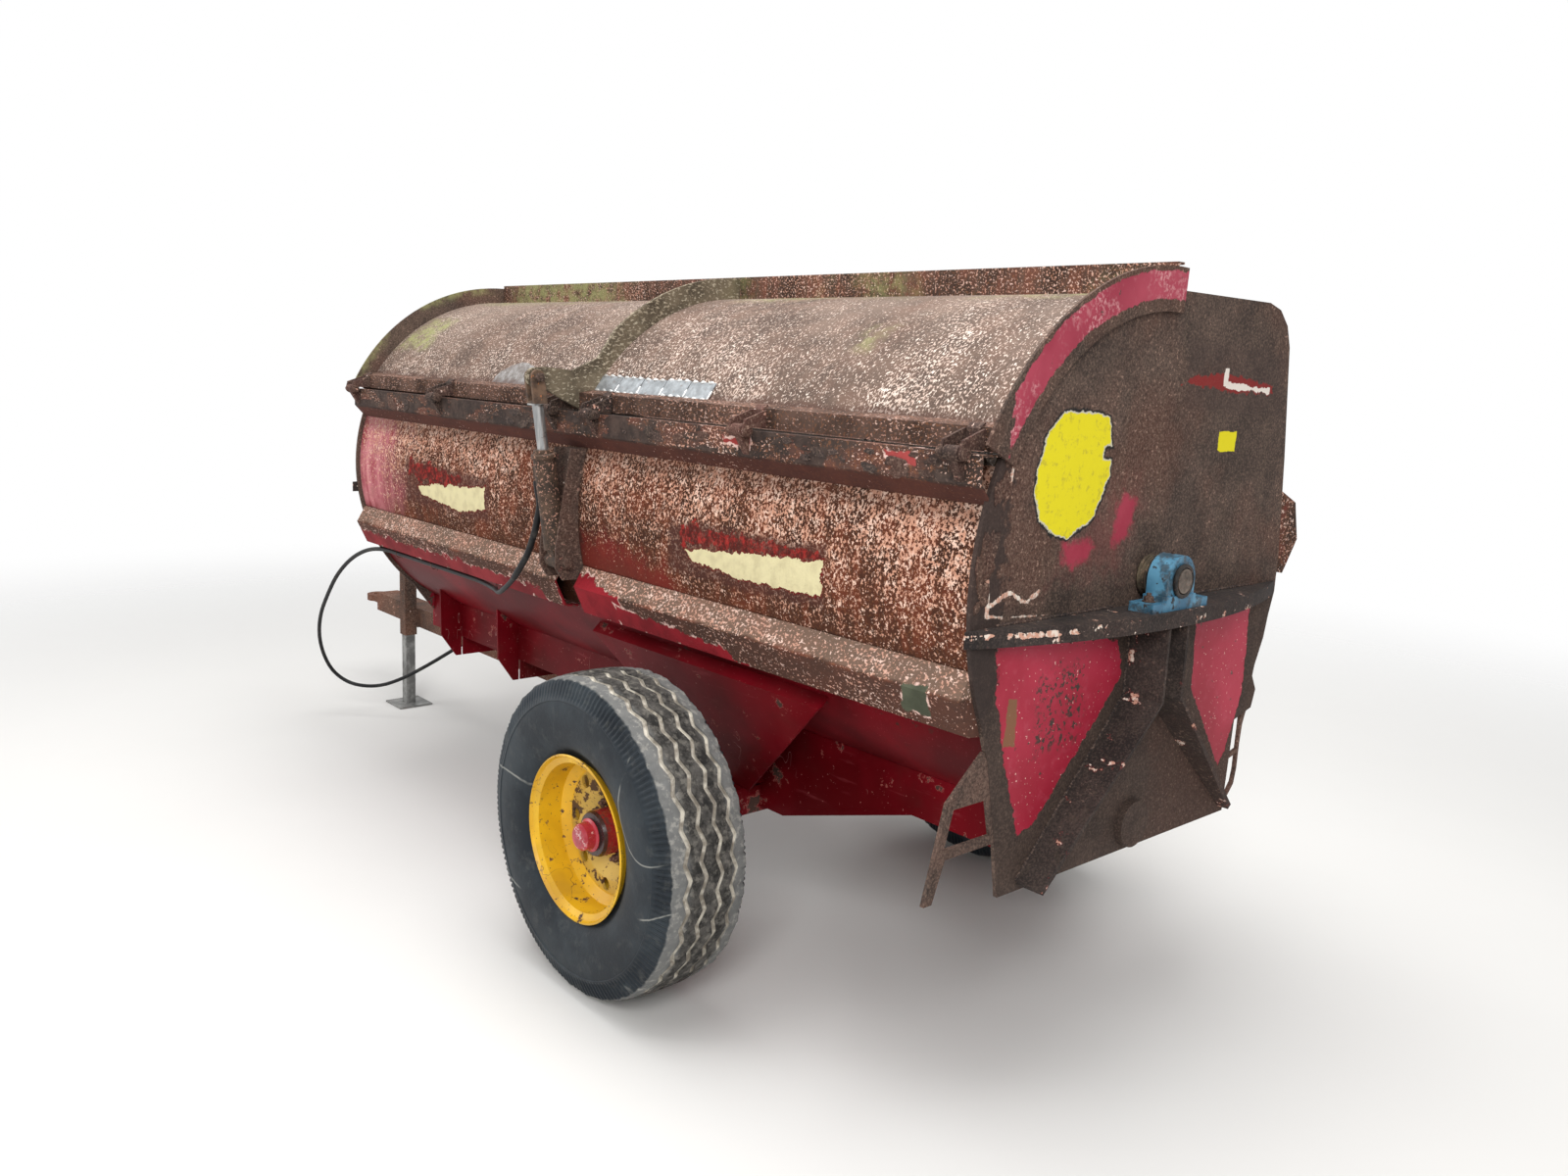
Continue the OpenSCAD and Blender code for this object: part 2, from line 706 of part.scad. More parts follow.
module ram_cylinder() {
    color("dimgray")
        on_ram() {
            difference() {
                union() {
                    translate([0, 0, 40]) cylinder(r = ram_r, h = 318);
                    translate([0, 0, 358]) cylinder(r = ram_r - 4, h = 12);
                    rotate([0, 90, 0]) translate([0, 0, -34]) cylinder(r = 26, h = 68);
                    translate([-20, -20, 10]) cube([40, 40, 40]);
                }
                rotate([0, 90, 0]) translate([0, 0, -60]) cylinder(r = ram_pin_r + weld, h = 120);
                translate([0, 0, 60]) cylinder(r = rod_r + weld, h = 400);
            }
            // elbow that the hose screws onto
            translate([ram_x - elbow_x, 0, elbow_s + 38]) rod_x(0, 31, hose_r);
            translate([ram_x - elbow_x, 0, elbow_s]) cylinder(r = hose_r, h = 47);
        }
}

module ram_rod() {
    inner = arm_t / 2 + 5;
    color("silver")
        on_ram() {
            translate([0, 0, 68 + stroke]) cylinder(r = rod_r, h = ram_len - 68 - stroke - fork_len + 8);
            translate([-inner - fork, -fork_r, ram_len - fork_len]) cube([2 * (inner + fork), 2 * fork_r, 14]);
            for (x = [-inner - fork, inner])
                translate([x, 0, ram_len]) {
                    rod_x(0, fork, fork_r);
                    translate([0, -fork_r, -fork_len]) cube([fork, 2 * fork_r, fork_len]);
                }
            translate([0, 0, ram_len]) rod_x(-inner - fork - 9, inner + fork + 9, ram_pin_r);
        }
}

// flat hexagonal link: its length over the ends, and its wire
module link(length, wire) {
    w = 26;
    linear_extrude(wire, center = true)
        difference() {
            polygon([[0, 0], [14, -w], [length - 14, -w], [length, 0], [length - 14, w], [14, w]]);
            polygon([[wire, 0], [wire + 8, -w + wire], [length - wire - 8, -w + wire], [length - wire, 0],
                [length - wire - 8, w - wire], [wire + 8, w - wire]]);
        }
}

// one flung-out chain along Z from the rotor's tube
module flail() {
    wire = 13;
    translate([0, 0, shaft_r - 6]) rotate([0, -90, 0]) {
        for (i = [0 : links - 1])
            translate([i * link_pitch, 0, 0]) rotate([90 * (i % 2), 0, 0]) link(link_pitch + wire, wire);
        translate([links * link_pitch, -45, -9]) cube([110, 90, 18]);
    }
}

module flail_rotor() {
    x0 = front_in + 60;
    x1 = rear_in - 60;
    tail = body_rear + 118;
    nose = guard_x - guard_d + 10;
    step = (x1 - x0 - 200) / (chains - 1);
    color("gray")
        translate([0, 0, rotor_z]) {
            rod_x(x0, x1, shaft_r);
            rod_x(nose, tail, journal_r);
            for (i = [0 : chains - 1])
                translate([x0 + 100 + i * step, 0, 0]) rotate([i * 360 * 5 / chains, 0, 0]) flail();
        }
}

// half section of a tyre, radius against the distance from its middle
module tyre_section() {
    h = tyre_w / 2;
    polygon([
        [rim_r - 6, -h + 38], [rim_r + 18, -h + 20], [rim_r + 60, -h + 5], [rim_r + 112, -h],
        [tyre_r - 60, -h + 6], [tyre_r - 26, -h + 17], [tyre_r - 9, -h + 40], [tyre_r - 2, -h + 84],
        [tyre_r, 0],
        [tyre_r - 2, h - 84], [tyre_r - 9, h - 40], [tyre_r - 26, h - 17], [tyre_r - 60, h - 6],
        [rim_r + 112, h], [rim_r + 60, h - 5], [rim_r + 18, h - 20], [rim_r - 6, h - 38],
        [rim_r - 20, h - 40], [rim_r - 20, -h + 40]
    ]);
}

// turns a half section about a wheel's axis; positive height in the section is outboard
module wheel_turned(side) {
    translate([0, side * track_half, tyre_r]) rotate([-90 * side, 0, 0]) rotate_extrude($fn = 96) children();
}

module tyre(side) {
    color([0.16, 0.17, 0.18]) wheel_turned(side) tyre_section();
}

module tyre_left() {
    tyre(-1);
}

module tyre_right() {
    tyre(1);
}

// well rim with its disc; the flange stands outboard of the tyre's bead
module rim(side) {
    h = tyre_w / 2;
    b = rim_r - 20 - weld;
    color("gold")
        difference() {
            union() {
                wheel_turned(side)
                    folded([[rim_r + 2, -h + 14], [rim_r - 4, -h + 26], [b, -h + 34], [b, -h + 70],
                        [b - 28, -h + 88], [b - 28, 18], [b, 40], [b, h - 34],
                        [rim_r - 4, h - 26], [rim_r + 2, h - 14]], 6);
                wheel_turned(side)
                    polygon([[70, 2], [100, 2], [150, 22], [b - 31, 22], [b - 31, 12], [150, 12], [104, -8], [70, -8]]);
            }
            for (a = [0 : 45 : 315])
                translate([0, side * track_half, tyre_r]) rotate([0, a, 0])
                    translate([168, 0, 0]) rod_y(-100, 100, 20, $fn = 32);
        }
}

module rim_left() {
    rim(-1);
}

module rim_right() {
    rim(1);
}

// hub: flange behind the disc, long drum and bearing cap in front of it
module hub(side) {
    color("firebrick")
        wheel_turned(side)
            difference() {
                polygon([[0, -110], [78, -110], [78, -60], [62, -40], [62, -24], [98, -24], [98, -8 - weld],
                    [69, -8 - weld], [69, 62], [64, 72], [50, 74], [50, 82], [42, 86], [40, 112], [33, 120], [0, 122]]);
                polygon([[0, -111], [30.5, -111], [30.5, 41], [0, 41]]);
            }
}

module hub_left() {
    hub(-1);
}

module hub_right() {
    hub(1);
}

// round tube swept along the hose's route, with a ring about every third diameter
module hose() {
    sides = 10;
    path = concat([for (i = [0 : len(hose_route) - 2])
        let (steps = max(1, round(norm(knot(i + 1) - knot(i)) / (6 * hose_r))))
            for (k = [0 : steps - 1]) between(i, k / steps)], [knot(len(hose_route) - 1)]);
    last = len(path) - 1;
    points = [for (i = [0 : last])
        let (t = unit(path[min(i + 1, last)] - path[max(i - 1, 0)]), a = unit(cross(t, hose_side)), b = cross(t, a))
            for (k = [0 : sides - 1]) path[i] + hose_r * (cos(360 * k / sides) * a + sin(360 * k / sides) * b)];
    walls = [for (i = [0 : last - 1], k = [0 : sides - 1])
        let (p = i * sides + k, q = i * sides + (k + 1) % sides) each [[p, p + sides, q], [q, p + sides, q + sides]]];
    ends = [[for (k = [0 : sides - 1]) k], [for (k = [sides - 1 : -1 : 0]) last * sides + k]];
    color([0.08, 0.08, 0.08]) polyhedron(points, concat(walls, ends));
}

placed() barrel_shell();
placed() front_plate();
placed() rear_plate();
placed() left_upper_rail();
placed() left_lower_rail();
placed() right_upper_rail();
placed() right_lower_rail();
placed() mouth_deflector();
placed() front_shelf();
placed() rear_shelf();
placed() front_bearing();
placed() rear_bearing();
placed() rear_stiffener();
placed() light_brackets();
placed() ram_post();
placed() hinge_tubes();
placed() chassis_rails();
placed() chassis_ribs();
placed() axle_gusset_left();
placed() axle_gusset_right();
placed() axle_beam();
placed() drawbar();
placed() towing_eye();
placed() jack_sleeve();
placed() jack_leg();
placed() drive_guard();
placed() input_shaft();
placed() lid_sheet();
placed() lid_ridge();
placed() lid_edge_bar();
placed() lid_end_bands();
placed() lid_arm();
placed() lid_hinges();
placed() ram_cylinder();
placed() ram_rod();
placed() flail_rotor();
placed() tyre_left();
placed() tyre_right();
placed() rim_left();
placed() rim_right();
placed() hub_left();
placed() hub_right();
placed() hose();
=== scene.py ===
# Manure spreader: finishes, tyres, hose, small iron and the studio, built round the CAD frame.
import bpy
import math
import numpy as np
from functools import reduce
from mathutils import Matrix, Vector


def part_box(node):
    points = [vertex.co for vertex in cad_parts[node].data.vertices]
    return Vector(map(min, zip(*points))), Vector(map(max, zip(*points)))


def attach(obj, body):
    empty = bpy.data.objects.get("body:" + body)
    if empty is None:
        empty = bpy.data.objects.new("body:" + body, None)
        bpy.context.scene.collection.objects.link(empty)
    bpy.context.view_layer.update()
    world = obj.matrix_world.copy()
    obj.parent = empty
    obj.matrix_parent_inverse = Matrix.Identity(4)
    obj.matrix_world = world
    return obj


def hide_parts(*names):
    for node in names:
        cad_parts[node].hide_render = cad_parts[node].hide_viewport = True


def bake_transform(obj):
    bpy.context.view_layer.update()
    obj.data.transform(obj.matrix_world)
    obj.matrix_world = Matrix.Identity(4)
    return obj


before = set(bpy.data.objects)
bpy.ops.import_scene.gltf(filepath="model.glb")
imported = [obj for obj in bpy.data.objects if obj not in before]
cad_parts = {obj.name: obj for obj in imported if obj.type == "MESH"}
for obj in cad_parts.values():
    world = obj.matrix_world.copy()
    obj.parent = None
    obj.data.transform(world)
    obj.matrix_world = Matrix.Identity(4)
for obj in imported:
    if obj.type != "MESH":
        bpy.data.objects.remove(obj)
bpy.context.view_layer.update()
print("frame loaded:", len(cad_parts), "nodes")


def middle(node):
    low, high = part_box(node)
    return (low + high) / 2


# places that the frame gives
axleX = middle("hub_left").x
wheelY = middle("tyre_right").y
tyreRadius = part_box("tyre_left")[1].z / 2
barrelLow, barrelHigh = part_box("barrel_shell")
barrelRadius = (barrelHigh.y - barrelLow.y) / 2
rotorZ = barrelLow.z + barrelRadius
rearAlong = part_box("left_upper_rail")[1].x - axleX      # along is measured from the axle towards the rear
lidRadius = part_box("lid_sheet")[1].z - rotorZ
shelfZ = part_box("rear_shelf")[1].z
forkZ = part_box("ram_rod")[1].z - 0.109                  # lower end of the rod's fork

# places that the part's source gives
ramAhead = 0.585                                        # of the axle
ramFoot, ramEye = (-0.748, 1.200), (-0.837, 1.795)      # (y, z) of the ram's two pins
hingesAlong = (-2.260, -1.500, -0.660, -0.415, 0.330, 1.086)
hingePin = (-0.740, rotorZ + 0.325)                     # (y, z)


# camera
cameraView = {
    "place": (axleX + 2.878, -2.848, 1.861),
    "yaw": 42.015,          # degrees from straight ahead along the machine
    "pitch": 10.256,
    "roll": 2.652,
    "lens": 27.94,
    "sensor": 36.0,
}


def aimCamera(view):
    yaw, pitch, roll = (math.radians(view[k]) for k in ("yaw", "pitch", "roll"))
    ahead = Vector((-math.cos(yaw) * math.cos(pitch), math.sin(yaw) * math.cos(pitch), -math.sin(pitch)))
    right = ahead.cross(Vector((0, 0, 1))).normalized()
    up = right.cross(ahead)
    right, up = (right * math.cos(roll) + up * math.sin(roll),
                 up * math.cos(roll) - right * math.sin(roll))
    data = bpy.data.cameras.new("camera")
    data.lens, data.sensor_width = view["lens"], view["sensor"]
    data.clip_end = 100
    camera = bpy.data.objects.new("camera", data)
    bpy.context.scene.collection.objects.link(camera)
    turn = Matrix((right, up, -ahead)).transposed().to_4x4()
    camera.matrix_world = Matrix.Translation(Vector(view["place"])) @ turn
    bpy.context.scene.camera = camera


aimCamera(cameraView)
print("camera set")


# mesh helpers; a shape is a pair of its points and its lists of corners
def meshPiece(name, points, faces, smoothAngle=40):
    # an object at the origin
    mesh = bpy.data.meshes.new(name)
    mesh.from_pydata(np.asarray(points, float).tolist(), [], faces)
    mesh.polygons.foreach_set("use_smooth", np.ones(len(mesh.polygons), bool))
    mesh.set_sharp_from_angle(angle=math.radians(smoothAngle))
    mesh.update()
    piece = bpy.data.objects.new(name, mesh)
    bpy.context.scene.collection.objects.link(piece)
    return piece


def outward(points, faces):
    # turns all faces round if the closed shape's volume, summed over the triangles of its faces, is negative
    fans = np.array([(face[0], b, c) for face in faces for b, c in zip(face[1:-1], face[2:])])
    a, b, c = (points - points[0])[fans].transpose(1, 0, 2)
    return faces if (a * np.cross(b, c)).sum() >= 0 else [face[::-1] for face in faces]


def joined(name, shapes, smoothAngle=35):
    # one piece from several closed shapes
    allFaces, count = [], 0
    for points, faces in shapes:
        allFaces += [[count + k for k in face] for face in outward(points, faces)]
        count += len(points)
    return meshPiece(name, np.vstack([points for points, faces in shapes]), allFaces, smoothAngle)


def gridShape(grid, closeRows=False):
    # quads over a grid of points whose columns, and rows if asked, run round
    rows, columns = grid.shape[:2]
    i = np.arange(rows if closeRows else rows - 1)[:, None]
    j = np.arange(columns)[None, :]
    i2, j2 = (i + 1) % rows, (j + 1) % columns
    quads = np.stack([i * columns + j, i2 * columns + j, i2 * columns + j2, i * columns + j2], -1)
    return grid.reshape(-1, 3), quads.reshape(-1, 4).tolist()


def closedShape(rings, start, end):
    # rings joined up one after another, with a fan of triangles to a point at both ends
    points, faces = gridShape(rings)
    sides = rings.shape[1]
    k = np.arange(sides)
    n, last = (k + 1) % sides, len(points) - sides
    pole = np.full(sides, len(points))
    fans = [np.stack([k, n, pole], -1), np.stack([last + n, last + k, pole + 1], -1)]
    return np.vstack([points, start, end]), faces + np.vstack(fans).tolist()


def circle(count):
    return np.linspace(0, 2 * math.pi, count, endpoint=False)


def turnedRings(outline, base, axis, sides):
    # rings of an outline of (distance along the axis, radius) turned about the axis
    along, radius = np.array(outline, float).T[:, :, None, None]
    axis = np.asarray(axis, float) / np.linalg.norm(axis)
    one = np.cross(axis, (0, 0, 1.0) if abs(axis[2]) < 0.9 else (1.0, 0, 0))
    one /= np.linalg.norm(one)
    turn = circle(sides)[:, None]
    ring = np.cos(turn) * one + np.sin(turn) * np.cross(axis, one)
    return np.asarray(base, float) + along * axis + radius * ring


def turned(outline, base, axis, sides):
    # solid whose outline starts and ends on the axis
    rings = turnedRings(outline, base, axis, sides)
    return closedShape(rings[1:-1], rings[0, 0], rings[-1, 0])


def smoothPath(points, steps):
    # smooth curve through the points: each stretch is a cubic whose slope at a point is half its neighbours' distance
    p = np.asarray(points, float)
    p = np.vstack([2 * p[0] - p[1], p, 2 * p[-1] - p[-2]])
    t = np.linspace(0, 1, steps, endpoint=False)[None, :, None]
    a, b, c, d = (p[k:len(p) - 3 + k, None, :] for k in range(4))
    curve = 0.5 * (2 * b + (c - a) * t + (2 * a - 5 * b + 4 * c - d) * t ** 2
                   + (3 * b - a - 3 * c + d) * t ** 3)
    return np.vstack([curve.reshape(-1, 3), p[-2:-1]])


def lengthsAlong(path):
    return np.concatenate([[0], np.linalg.norm(np.diff(path, axis=0), axis=1).cumsum()])


def pointsAlong(path, stops):
    # points of the path at these lengths from its start
    run = lengthsAlong(path)
    return np.stack([np.interp(stops, run, path[:, k]) for k in range(3)], -1)


def tube(path, radius, sides):
    # circle of one radius, or of a radius for each point, carried along the path; its first direction
    # is kept as near as can be to the one before it
    tangents = np.gradient(np.asarray(path, float), axis=0)
    tangents /= np.linalg.norm(tangents, axis=1)[:, None]
    one = [np.cross(tangents[0], (0.3, 0.2, 0.93))]
    for tangent in tangents:
        side = one[-1] - tangent * (one[-1] @ tangent)
        one.append(side / np.linalg.norm(side))
    one = np.array(one[1:])[:, None]
    turn = circle(sides)[:, None]
    ring = np.cos(turn) * one + np.sin(turn) * np.cross(tangents[:, None], one)
    return closedShape(path[:, None] + np.reshape(radius, (-1, 1, 1)) * ring, path[0], path[-1])


# shader helpers
def feed(tree, socket, value):
    if isinstance(value, Wire):
        tree.links.new(value.socket, socket)
    elif socket.type == "RGBA" and len(value) == 3:
        socket.default_value = (*value, 1)
    else:
        socket.default_value = value


def mathsMethod(operation, swapped=False):
    # method that puts the wire, and another value if there is one, through a Math node
    def method(self, *other):
        values = (self, *other)[::-1] if swapped else (self, *other)
        node = self.tree.nodes.new("ShaderNodeMath")
        node.operation = operation
        for socket, value in zip(node.inputs, values):
            feed(self.tree, socket, value)
        return Wire(self.tree, node.outputs[0])
    return method


class Wire:                         # one output of a shader node, with the arithmetic that the finishes use
    __add__, __radd__ = mathsMethod("ADD"), mathsMethod("ADD", True)
    __sub__, __rsub__ = mathsMethod("SUBTRACT"), mathsMethod("SUBTRACT", True)
    __mul__, __rmul__ = mathsMethod("MULTIPLY"), mathsMethod("MULTIPLY", True)
    __truediv__ = mathsMethod("DIVIDE")
    least, most = mathsMethod("MINIMUM"), mathsMethod("MAXIMUM")
    size, root = mathsMethod("ABSOLUTE"), mathsMethod("SQRT")
    sine, fraction, angle = mathsMethod("SINE"), mathsMethod("FRACT"), mathsMethod("ARCTAN2")

    def __init__(self, tree, socket):
        self.tree, self.socket = tree, socket

    def __neg__(self):
        return self * -1.0

    def fade(self, low, high):      # 0 below low and 1 above high, smooth between; it falls if high is lower
        if high < low:
            return 1 - self.fade(high, low)
        node = self.tree.nodes.new("ShaderNodeMapRange")
        node.interpolation_type = "SMOOTHSTEP"
        for key, value in (("Value", self), ("From Min", low), ("From Max", high)):
            feed(self.tree, node.inputs[key], value)
        return Wire(self.tree, node.outputs[0])


def distance(a, b):                 # of two wires at right angles
    return (a * a + b * b).root()


class Finish:                       # one material while it is being made, with its colour so far
    def __init__(self, name):
        self.material = bpy.data.materials.new(name)
        self.material.use_nodes = True
        self.tree = self.material.node_tree
        self.tree.nodes.clear()
        self.shader = self.tree.nodes.new("ShaderNodeBsdfPrincipled")
        output = self.tree.nodes.new("ShaderNodeOutputMaterial")
        self.tree.links.new(self.shader.outputs[0], output.inputs[0])
        self.place = self.node("ShaderNodeTexCoord", {}, {}, "Object")
        split = self.tree.nodes.new("ShaderNodeSeparateXYZ")
        feed(self.tree, split.inputs[0], self.place)
        x, self.y, self.z = (Wire(self.tree, socket) for socket in split.outputs)
        self.along = x - axleX      # from the axle towards the rear

    def node(self, kind, settings, inputs, output=0):
        made = self.tree.nodes.new(kind)
        for key, value in settings.items():
            setattr(made, key, value)
        for key, value in inputs.items():
            feed(self.tree, made.inputs[key], value)
        return Wire(self.tree, made.outputs[output])

    def stretched(self, factors, vector=None):      # the place with each axis scaled
        return self.node("ShaderNodeVectorMath", {"operation": "MULTIPLY"}, {0: vector or self.place, 1: factors})

    def noise(self, scale, detail=2.0, rough=0.5, vector=None):
        return self.node("ShaderNodeTexNoise", {}, {
            "Vector": vector or self.place, "Scale": scale, "Detail": detail, "Roughness": rough}, "Fac")

    def mix(self, factor, first, second):
        return self.node("ShaderNodeMix", {"data_type": "RGBA"}, {0: factor, 6: first, 7: second}, 2)

    def mottled(self, noise, levels, first, second):    # two tones that a noise mixes between two of its levels
        return self.mix(self.noise(*noise).fade(*levels), first, second)

    def coat(self, mask, tone):     # lays a tone over the colour so far
        self.colour = self.mix(mask, self.colour, tone)

    def around(self, seamUp):       # angle about the rotor's axis, times the barrel's radius
        return self.y.angle(rotorZ - self.z if seamUp else self.z - rotorZ) * barrelRadius

    def fromRotor(self):            # distance from the rotor's axis
        return distance(self.y, self.z - rotorZ)

    def fromWheel(self):            # distance from the wheels' axis
        return distance(self.along, self.z - tyreRadius)

    def inside(self, u, v, corners):    # depth inside a convex outline whose corners run anticlockwise
        edges = []
        for (u0, v0), (u1, v1) in zip(corners, corners[1:] + corners[:1]):
            length = math.hypot(u1 - u0, v1 - v0)
            edges.append((v - v0) * ((u1 - u0) / length) - (u - u0) * ((v1 - v0) / length))
        return reduce(Wire.least, edges)

    def done(self, roughness, metallic=0.0, height=None, depth=0.001, coat=0.0, shine=0.2):
        for key, value in (("Base Color", self.colour), ("Roughness", roughness), ("Metallic", metallic),
                           ("Coat Weight", coat), ("Specular IOR Level", shine)):
            feed(self.tree, self.shader.inputs[key], value)
        if height is not None:
            bump = self.node("ShaderNodeBump", {}, {"Height": height, "Distance": depth, "Strength": 0.8})
            feed(self.tree, self.shader.inputs["Normal"], bump)
        return self.material


# colours
tones = {
    "rustDark": (0.040, 0.022, 0.016),
    "rustBrown": (0.105, 0.047, 0.030),
    "rustRed": (0.195, 0.052, 0.030),
    "rustOrange": (0.27, 0.11, 0.050),
    "flake": (0.62, 0.335, 0.245),
    "flakePale": (0.90, 0.66, 0.56),
    "paint": (0.190, 0.004, 0.010),
    "paintDeep": (0.085, 0.002, 0.004),
    "paintFaded": (0.36, 0.075, 0.085),
    "cream": (0.78, 0.70, 0.42),
    "yellow": (0.83, 0.72, 0.02),
    "moss": (0.225, 0.220, 0.085),
    "mossPale": (0.37, 0.38, 0.17),
    "black": (0.016, 0.014, 0.014),
}


flakedLook = {
    "unrolled": False,              # the pattern follows the barrel's curve
    "seamUp": True,                 # the unrolled pattern's seam is at the top, else at the bottom
    "dark": tones["rustDark"], "base": tones["rustBrown"], "warm": tones["rustRed"], "fleck": tones["rustOrange"],
    "red": 0.6, "streak": (38, 3, 3),
    "flake": tones["flake"], "flakePale": tones["flakePale"], "strength": 0.92,
    "size": 150, "stretch": (1, 0.5, 1),    # of the grains
    "amount": 0.0,                  # of the sheet that the grains cover
}


def flaked(name, changes):
    # rusted sheet that takes fine pale remains
    f = Finish(name)
    look = f.look = {**flakedLook, **changes}
    flat = f.place
    if look["unrolled"]:
        flat = f.node("ShaderNodeCombineXYZ", {}, {0: f.along, 1: f.around(look["seamUp"]), 2: f.fromRotor()})
    f.patch = f.noise(7, 5, 0.62, flat)
    f.fine = f.noise(120, 3, 0.6, flat)
    f.streak = f.noise(1, 3, 0.6, f.stretched(look["streak"], flat))
    f.colour = f.mix(f.patch.fade(0.34, 0.66), look["dark"], look["base"])
    f.coat((f.streak * 0.4 + f.patch * 0.6).fade(0.46, 0.60) * look["red"], look["warm"])
    f.coat(f.fine.fade(0.52, 0.66) * 0.5, look["fleck"])
    f.grain = f.noise(look["size"], 2.5, 0.62, f.stretched(look["stretch"], flat))
    f.cover = (f.noise(2.3, 4, 0.6, flat) - 0.5) * 0.30 + (f.streak - 0.5) * 0.12 + look["amount"]
    return f


def flakesOn(f, cover):
    # grains over a level that falls as the cover rises; gives the surface's height
    flake = (f.grain + cover - 0.56).fade(0.0, 0.055)
    f.coat(flake * f.look["strength"], f.mottled((43, 3, 0.6), (0.42, 0.66), f.look["flake"], f.look["flakePale"]))
    return flake * 0.5 + f.fine * 0.3 + f.patch * 0.7


def mossOn(f, mask, strength):
    f.coat(mask * f.noise(21, 5, 0.72).fade(0.37, 0.60) * strength,
           f.mix(f.noise(60, 2), tones["moss"], tones["mossPale"]))


def ragged(f, depth, size, wobble, soft):
    # edge of a torn or worn place: its depth disturbed by a noise
    return (depth + (f.noise(size, 4, 0.68) - 0.5) * wobble).fade(0.0, soft)


def panelFinish():
    # barrel sheet: flaking sides, dark red enamel below, dirty steel inside, torn plain patches
    look = {"unrolled": True, "size": 158, "stretch": (1, 0.8, 1), "streak": (34, 2.0, 2), "red": 0.8,
            "strength": 0.96, "dark": (0.044, 0.019, 0.013), "base": (0.094, 0.034, 0.020),
            "warm": (0.150, 0.038, 0.020), "flake": (0.64, 0.33, 0.225), "flakePale": (0.92, 0.65, 0.52)}
    f = flaked("barrel_flaking", look)
    left = f.y.fade(0.05, -0.05)
    rise = f.z - rotorZ
    behind = f.along + ramAhead
    # more pale grains towards the top and the rear, fewer and redder behind the ram and at the front
    cover = f.cover + rise * 0.26 + 0.020 + behind.fade(0.5, 1.7) * 0.045
    worn = f.inside(f.along, f.z, [(-0.60, 1.05), (0.14, 1.05), (-0.02, 1.29), (-0.30, 1.34), (-0.60, 1.38)])
    redder = ragged(f, worn, 9, 0.30, 0.10) * left
    f.coat(redder * 0.62, (0.215, 0.020, 0.020))
    cover = cover - redder * 0.075
    front = (f.along + (f.patch - 0.5) * 0.9).fade(-1.75, -2.2) * left
    f.coat(front * 0.88,
           f.mix((f.streak * 0.5 + f.patch * 0.5).fade(0.34, 0.60), (0.34, 0.048, 0.072), (0.68, 0.25, 0.28)))
    cover = cover - front * 0.030
    smooth = (rise + 0.10 + (f.patch - 0.5) * 0.3).fade(0.02, -0.16)
    f.coat(smooth * 0.45, (0.120, 0.046, 0.027))
    cover = cover - smooth * 0.055
    # painted shadow: the top band of the sheet, just under the upper rails, is darkened as the rails' shadow; the
    # streaky cut in pale grains higher up towards the front is the sheet's own
    railShadow, sootHigh = rise.fade(0.135, 0.19), f.streak.fade(0.50, 0.62) * rise.fade(-0.02, 0.16)
    height = flakesOn(f, cover - sootHigh * 0.05 * f.along.fade(0.0, -0.7))
    f.coat(railShadow * 0.45, tones["rustDark"])
    gutter = ragged(f, 0.016 - (f.z - (rotorZ - 0.19)).size(), 30, 0.02, 0.01)
    f.coat(gutter * 0.6, tones["rustDark"])
    # dark streak beside the ram's post
    run = ragged(f, 0.075 - behind.size(), 12, 0.07, 0.03) * left
    f.coat(run * 0.8, tones["rustDark"])
    for around, smear, rim, remains in tornPatches(f):
        f.coat(around * left, f.mix(f.fine, (0.050, 0.026, 0.022), (0.12, 0.040, 0.030)))
        f.coat(smear * left,
               f.mottled((40, 5, 0.75), (0.45, 0.62), (0.080, 0.014, 0.012), (0.40, 0.030, 0.026)))
        f.coat(rim * left, (0.15, 0.012, 0.012))
        f.coat(remains * left, f.mix(f.noise(26, 4).fade(0.4, 0.7) * 0.4, tones["cream"], (0.50, 0.42, 0.24)))
    # below the side rails the sheet keeps its dark red enamel
    under = ragged(f, rotorZ - 0.335 - f.z, 14, 0.03, 0.01)
    paint = f.mottled((3.1, 3), (0.35, 0.7), tones["paintDeep"], tones["paint"])
    paint = f.mix(f.noise(19, 5, 0.7).fade(0.60, 0.64) * f.noise(3, 3).fade(0.48, 0.6), paint, tones["rustDark"])
    paint = f.mix(f.noise(130, 2).fade(0.68, 0.72) * 0.6, paint, tones["paintFaded"])
    f.coat(under, paint)
    within = f.fromRotor().fade(barrelRadius - 0.002, barrelRadius - 0.004)
    inner = f.mottled((9, 4, 0.6), (0.35, 0.65), (0.05, 0.034, 0.026), (0.16, 0.12, 0.088))
    f.coat(within, inner)
    return f.done(0.84 - under * 0.40 + within * 0.3, 0.0, height * (1 - under * 0.85), 0.0018, shine=0.08)


